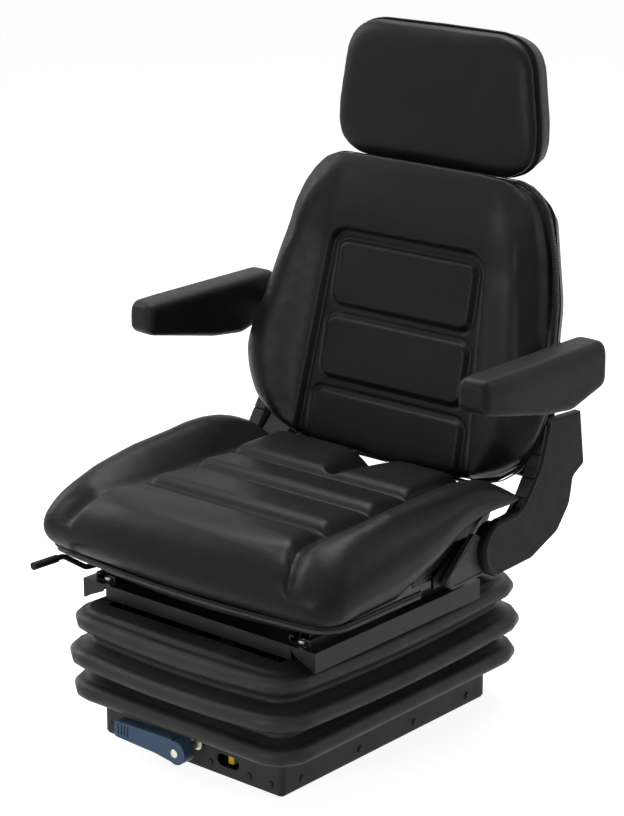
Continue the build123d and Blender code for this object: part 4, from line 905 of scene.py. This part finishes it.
# Headrest
HEAD_EDGE = [(0, -5), (108, -5), (134, -2), (156, 7), (172, 21), (178, 42), (177, 76), (171, 114)]
HEAD_EDGE += [(165, 155), (157, 174), (144, 187), (128, 194), (108, 198), (0, 199)]
HEAD_CENTRE = np.array([0.0, 98.0])


def head_front(u, w):
    """Gently crowned front face of the headrest."""
    across = 1 - (u / 190.0) ** 2
    upwards = 1 - ((w - 100) / 115.0) ** 2
    return 1.0 + 8.0 * np.clip(across, 0, 1) * np.clip(upwards, 0, 1)


def headrest_cushion():
    """Headrest pad with a rounded rim."""
    edge = half_outline(HEAD_EDGE, 240)
    centre = HEAD_CENTRE
    layers = [with_height(toward(edge, centre, share), -16.0) for share in np.linspace(0.97, 0.08, 14)]
    for share, t in ((0.03, -15.8), (0.01, -14.0), (0.0, -11.0)):
        layers.append(with_height(toward(edge, centre, share), t))
    layers.append(with_height(toward(edge, centre, -0.004), -7.0))
    for a in np.linspace(0, math.pi / 2, 9)[1:]:
        turn = 1 - math.cos(a)
        ring = toward(edge, centre, (-0.004 + 24 * turn / 178.0, -0.004 + 24 * turn / 100.0))
        front = head_front(ring[:, 0], ring[:, 1])
        layers.append(with_height(ring, -5.0 + (front + 5.0) * math.sin(a)))
    for share in np.linspace(0.03, 0.98, 18):
        inner = toward(ring, centre, share)
        layers.append(with_height(inner, head_front(inner[:, 0], inner[:, 1])))
    piece = layered("headrest_cushion_soft", layers, head_place, LEATHER)
    soften_piece(piece, 4.0, 4.0, 2.5)
    dress(piece, "headrest", "leatherette", "headrest_cushion")


def headrest_shell():
    """Moulded rear shell of the headrest, rounder at its corners than the pad."""
    edge = half_outline(HEAD_EDGE, 240)
    centre = HEAD_CENTRE
    layers = []
    front = ((0.5, -16.4), (0.02, -16.4), (0.012, -18.0), (0.012, -24.0), (0.03, -34.0), (0.055, -46.0))
    for share, t in front:
        layers.append(with_height(toward(edge, centre, share), t))
    for a in np.linspace(0, math.pi / 2, 7)[1:]:
        share = 0.055 + 0.09 * (1 - math.cos(a))
        layers.append(with_height(toward(edge, centre, share), -46.0 - 12.0 * math.sin(a)))
    layers.append(with_height(toward(edge, centre, 0.5), -58.6))
    piece = layered("headrest_shell_soft", layers[::-1], head_place, SHELL_PLASTIC)
    dress(piece, "headrest", "plastic_black", "headrest_shell")
    path = head_place(edge[:, 0] * 0.995, edge[:, 1] * 0.99 + 1, np.full(len(edge), -17.0))
    dress(tube("headrest_piping", path, 1.8, LEATHER), "headrest", "leatherette")


# Armrests
ARMREST_INNER = 275.0
ARMREST_OUTER = 326.0
ARMREST_TOP = 556.0


def armrest(name, side):
    """Skinned foam armrest with a slanted front end."""
    top = ARMREST_TOP
    corners = [(-4, top), (276, top), (276, 492), (200, 471), (140, 478), (4, 508), (-4, 516)]
    outline = rounded_outline(corners, [12, 14, 14, 40, 60, 8, 6], 200)

    def outer(u, w):
        return ARMREST_OUTER - 3.0 * smooth(60, -10, u) - 2.0 * smooth(530, top, w)

    def inner(u, w):
        return np.full_like(u, ARMREST_INNER)

    def place(u, w, t):
        slant = 4.0 * (t - ARMREST_INNER) / (ARMREST_OUTER - ARMREST_INNER) * smooth(70, -10, u)
        return np.stack([side * t, u + slant, w], axis=-1)

    rings = [(11, 0.0), (6, 0.03), (1.5, 0.12), (0, 0.24), (0, 0.5)]
    rings += roll(10, 0.78, 7)
    piece = pillow("armrest_" + name + "_soft", outline, rings, 14, outer, inner, place, FOAM_SKIN)
    remesh(piece, 3.0)
    dress(piece, "armrest_" + name, "armrest_foam", "armrest_pad_" + name)


# Side trim
def side_path(points, x):
    """A line in the seat's side view, at a distance across."""
    return np.array([(x, y, z) for y, z in points])


LOBE_Y = 128.0
LOBE_Z = 279.0
LOBE_RIM = 35.5
COVER_RIM_X = 257.5


def cover_rim(name, side):
    """Raised rim along the front edge of a recliner cover."""
    turn = np.radians(np.linspace(-95, 68, 22))
    points = list(zip(LOBE_Y - LOBE_RIM * np.cos(turn), LOBE_Z + LOBE_RIM * np.sin(turn)))
    bend = [(128, 313.5), (160, 314.5), (176, 320), (187, 333), (199, 347), (218, 373), (228, 405)]
    bend.append((236, 430))
    points = resampled(points + bend, 90, closed=False)
    for _ in range(4):
        points[1:-1] = (points[:-2] + 2 * points[1:-1] + points[2:]) / 4
    path = side_path(points, side * COVER_RIM_X)
    rim = tube("cover_rim_" + name, path, 4.2, COVER_PLASTIC, closed=False, sides=12)
    dress(rim, "backrest", "plastic_black")


def lever_rim():
    """Bevelled rim round the recline lever's paddle, in the lever's own plastic."""
    corners = [(83, 303), (93, 297), (105, 281), (109, 253), (103, 247), (36, 244), (22, 257)]
    outline = rounded_outline(corners, [4, 5, 8, 6, 5, 8, 8], 110)
    rim = tube("lever_rim", side_path(outline, 246.6), 2.3, LEVER_PLASTIC)
    dress(rim, "recline_handle", "lever_grey")


# Bellows
BASE_HALF_W = 166.0
BASE_HALF_D = 225.0
FOLD_FIRST = 73.0
FOLD_PITCH = 50.0
FOLD_ROUND = 14.0
WALL = 2.5

# Each fold's distance out and half height, from the lowest up
FOLDS = ((44.0, 13.5), (49.0, 13.5), (40.0, 13.0))


def bellows_profile():
    """Section of the bellows from the skirt up to its deck: distance out and height."""
    points = [(-0.6, 3.0), (-0.6, 20.0), (-0.6, 40.0), (1.2, 46.0)]
    for index, (out, swell) in enumerate(FOLDS):
        middle = FOLD_FIRST + index * FOLD_PITCH
        for a in np.linspace(-math.pi / 2, math.pi / 2, 15):
            points.append((out - FOLD_ROUND + FOLD_ROUND * math.cos(a), middle + swell * math.sin(a)))
        if index < len(FOLDS) - 1:
            valley = middle + FOLD_PITCH / 2
            points += [(17.5, valley - 4.0), (16.5, valley), (17.5, valley + 4.0)]
    points += [(20.0, 190.0), (6.0, 191.5), (-6.0, 192.0)]
    return np.array(points)


def cut_opening(piece, x, z, radius, straight):
    """Cuts a round or round-ended opening through the skirt's front."""
    count = 40
    turn = np.linspace(0, 2 * math.pi, count, endpoint=False) + 0.01
    across = x + radius * np.cos(turn) + straight * np.sign(np.cos(turn))
    up = z + radius * np.sin(turn)
    rings = [np.column_stack([across, np.full(count, y), up]) for y in (-205.0, -240.0)]
    faces = ring_faces(2, count)
    faces.append(tuple(range(count))[::-1])
    faces.append(tuple(range(count, 2 * count)))
    cutter = mesh_piece("opening_cutter", np.vstack(rings), faces, RUBBER)
    modifier = piece.modifiers.new("Opening", "BOOLEAN")
    modifier.operation = "DIFFERENCE"
    modifier.solver = "EXACT"
    modifier.object = cutter
    take_mesh(piece)
    bpy.data.objects.remove(cutter)


def node_middle(name):
    """Middle of a carried-over node's box, in millimetres."""
    piece = nodes[name]
    corners = [piece.matrix_world @ Vector(corner) for corner in piece.bound_box]
    return sum(corners, Vector()) / len(corners) / MM


def bellows():
    """Moulded rubber bellows with three folds."""
    section = resampled(bellows_profile(), 150, closed=False)
    w, d = BASE_HALF_W, BASE_HALF_D
    outline = rounded_outline([(-w, -d), (w, -d), (w, d), (-w, d)], [8] * 4, 320)
    ahead = np.roll(outline, -1, axis=0) - np.roll(outline, 1, axis=0)
    ahead /= np.linalg.norm(ahead, axis=1, keepdims=True)
    outward = np.stack([ahead[:, 1], -ahead[:, 0]], axis=1)
    middle_x = 1 - (outline[:, 0] / w) ** 2
    middle_y = 1 - (outline[:, 1] / d) ** 2
    belly = np.clip(np.maximum(middle_x, middle_y), 0, 1)
    points = []
    for out, z in section:
        loose = smooth(88, 120, z) * (1 - smooth(180, 192, z))
        flat = outline + outward * (out + 4.0 * loose * belly)[:, None]
        points.append(np.column_stack([flat, z - 5.0 * loose * belly]))
    piece = mesh_piece("bellows_soft", np.vstack(points), ring_faces(len(section), len(outline)), RUBBER)
    wall = piece.modifiers.new("Wall", "SOLIDIFY")
    wall.thickness = WALL * MM
    wall.offset = -1.0
    take_mesh(piece)
    mark = node_middle("indicator_mark")
    cut_opening(piece, mark.x, mark.z, 9.0, 11.0)
    spindle = node_middle("adjuster_spindle")
    cut_opening(piece, spindle.x, spindle.z, 8.0, 0.0)
    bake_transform(piece)
    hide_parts("bellows")


def weight_mark():
    """Yellow mark of the weight indicator, in its window."""
    middle = node_middle("indicator_mark")
    count = 40
    outline = rounded_outline([(-5.0, -6.0), (5.0, -6.0), (5.0, 6.0), (-5.0, 6.0)], [1.5] * 4, count)
    rear = middle.y + 5.5
    rings = []
    for forward, share in ((0.0, 1.0), (20.0, 1.0), (21.5, 0.9)):
        x, z = (outline * share).T
        rings.append(np.column_stack([middle.x + x, np.full(count, rear - forward), middle.z + z]))
    faces = ring_faces(3, count)
    faces.append(tuple(range(count))[::-1])
    faces.append(tuple(range(2 * count, 3 * count)))
    piece = mesh_piece("weight_mark", np.vstack(rings), faces, MARK_PLASTIC)
    dress(piece, "carriage", "mark_yellow", "indicator_mark")


camera()
studio()
dress_nodes()
seat_cushion()
seat_seams()
back_cushion()
back_seams()
headrest_cushion()
headrest_shell()
armrest("left", 1)
armrest("right", -1)
cover_rim("left", 1)
cover_rim("right", -1)
lever_rim()
weight_mark()
bellows()
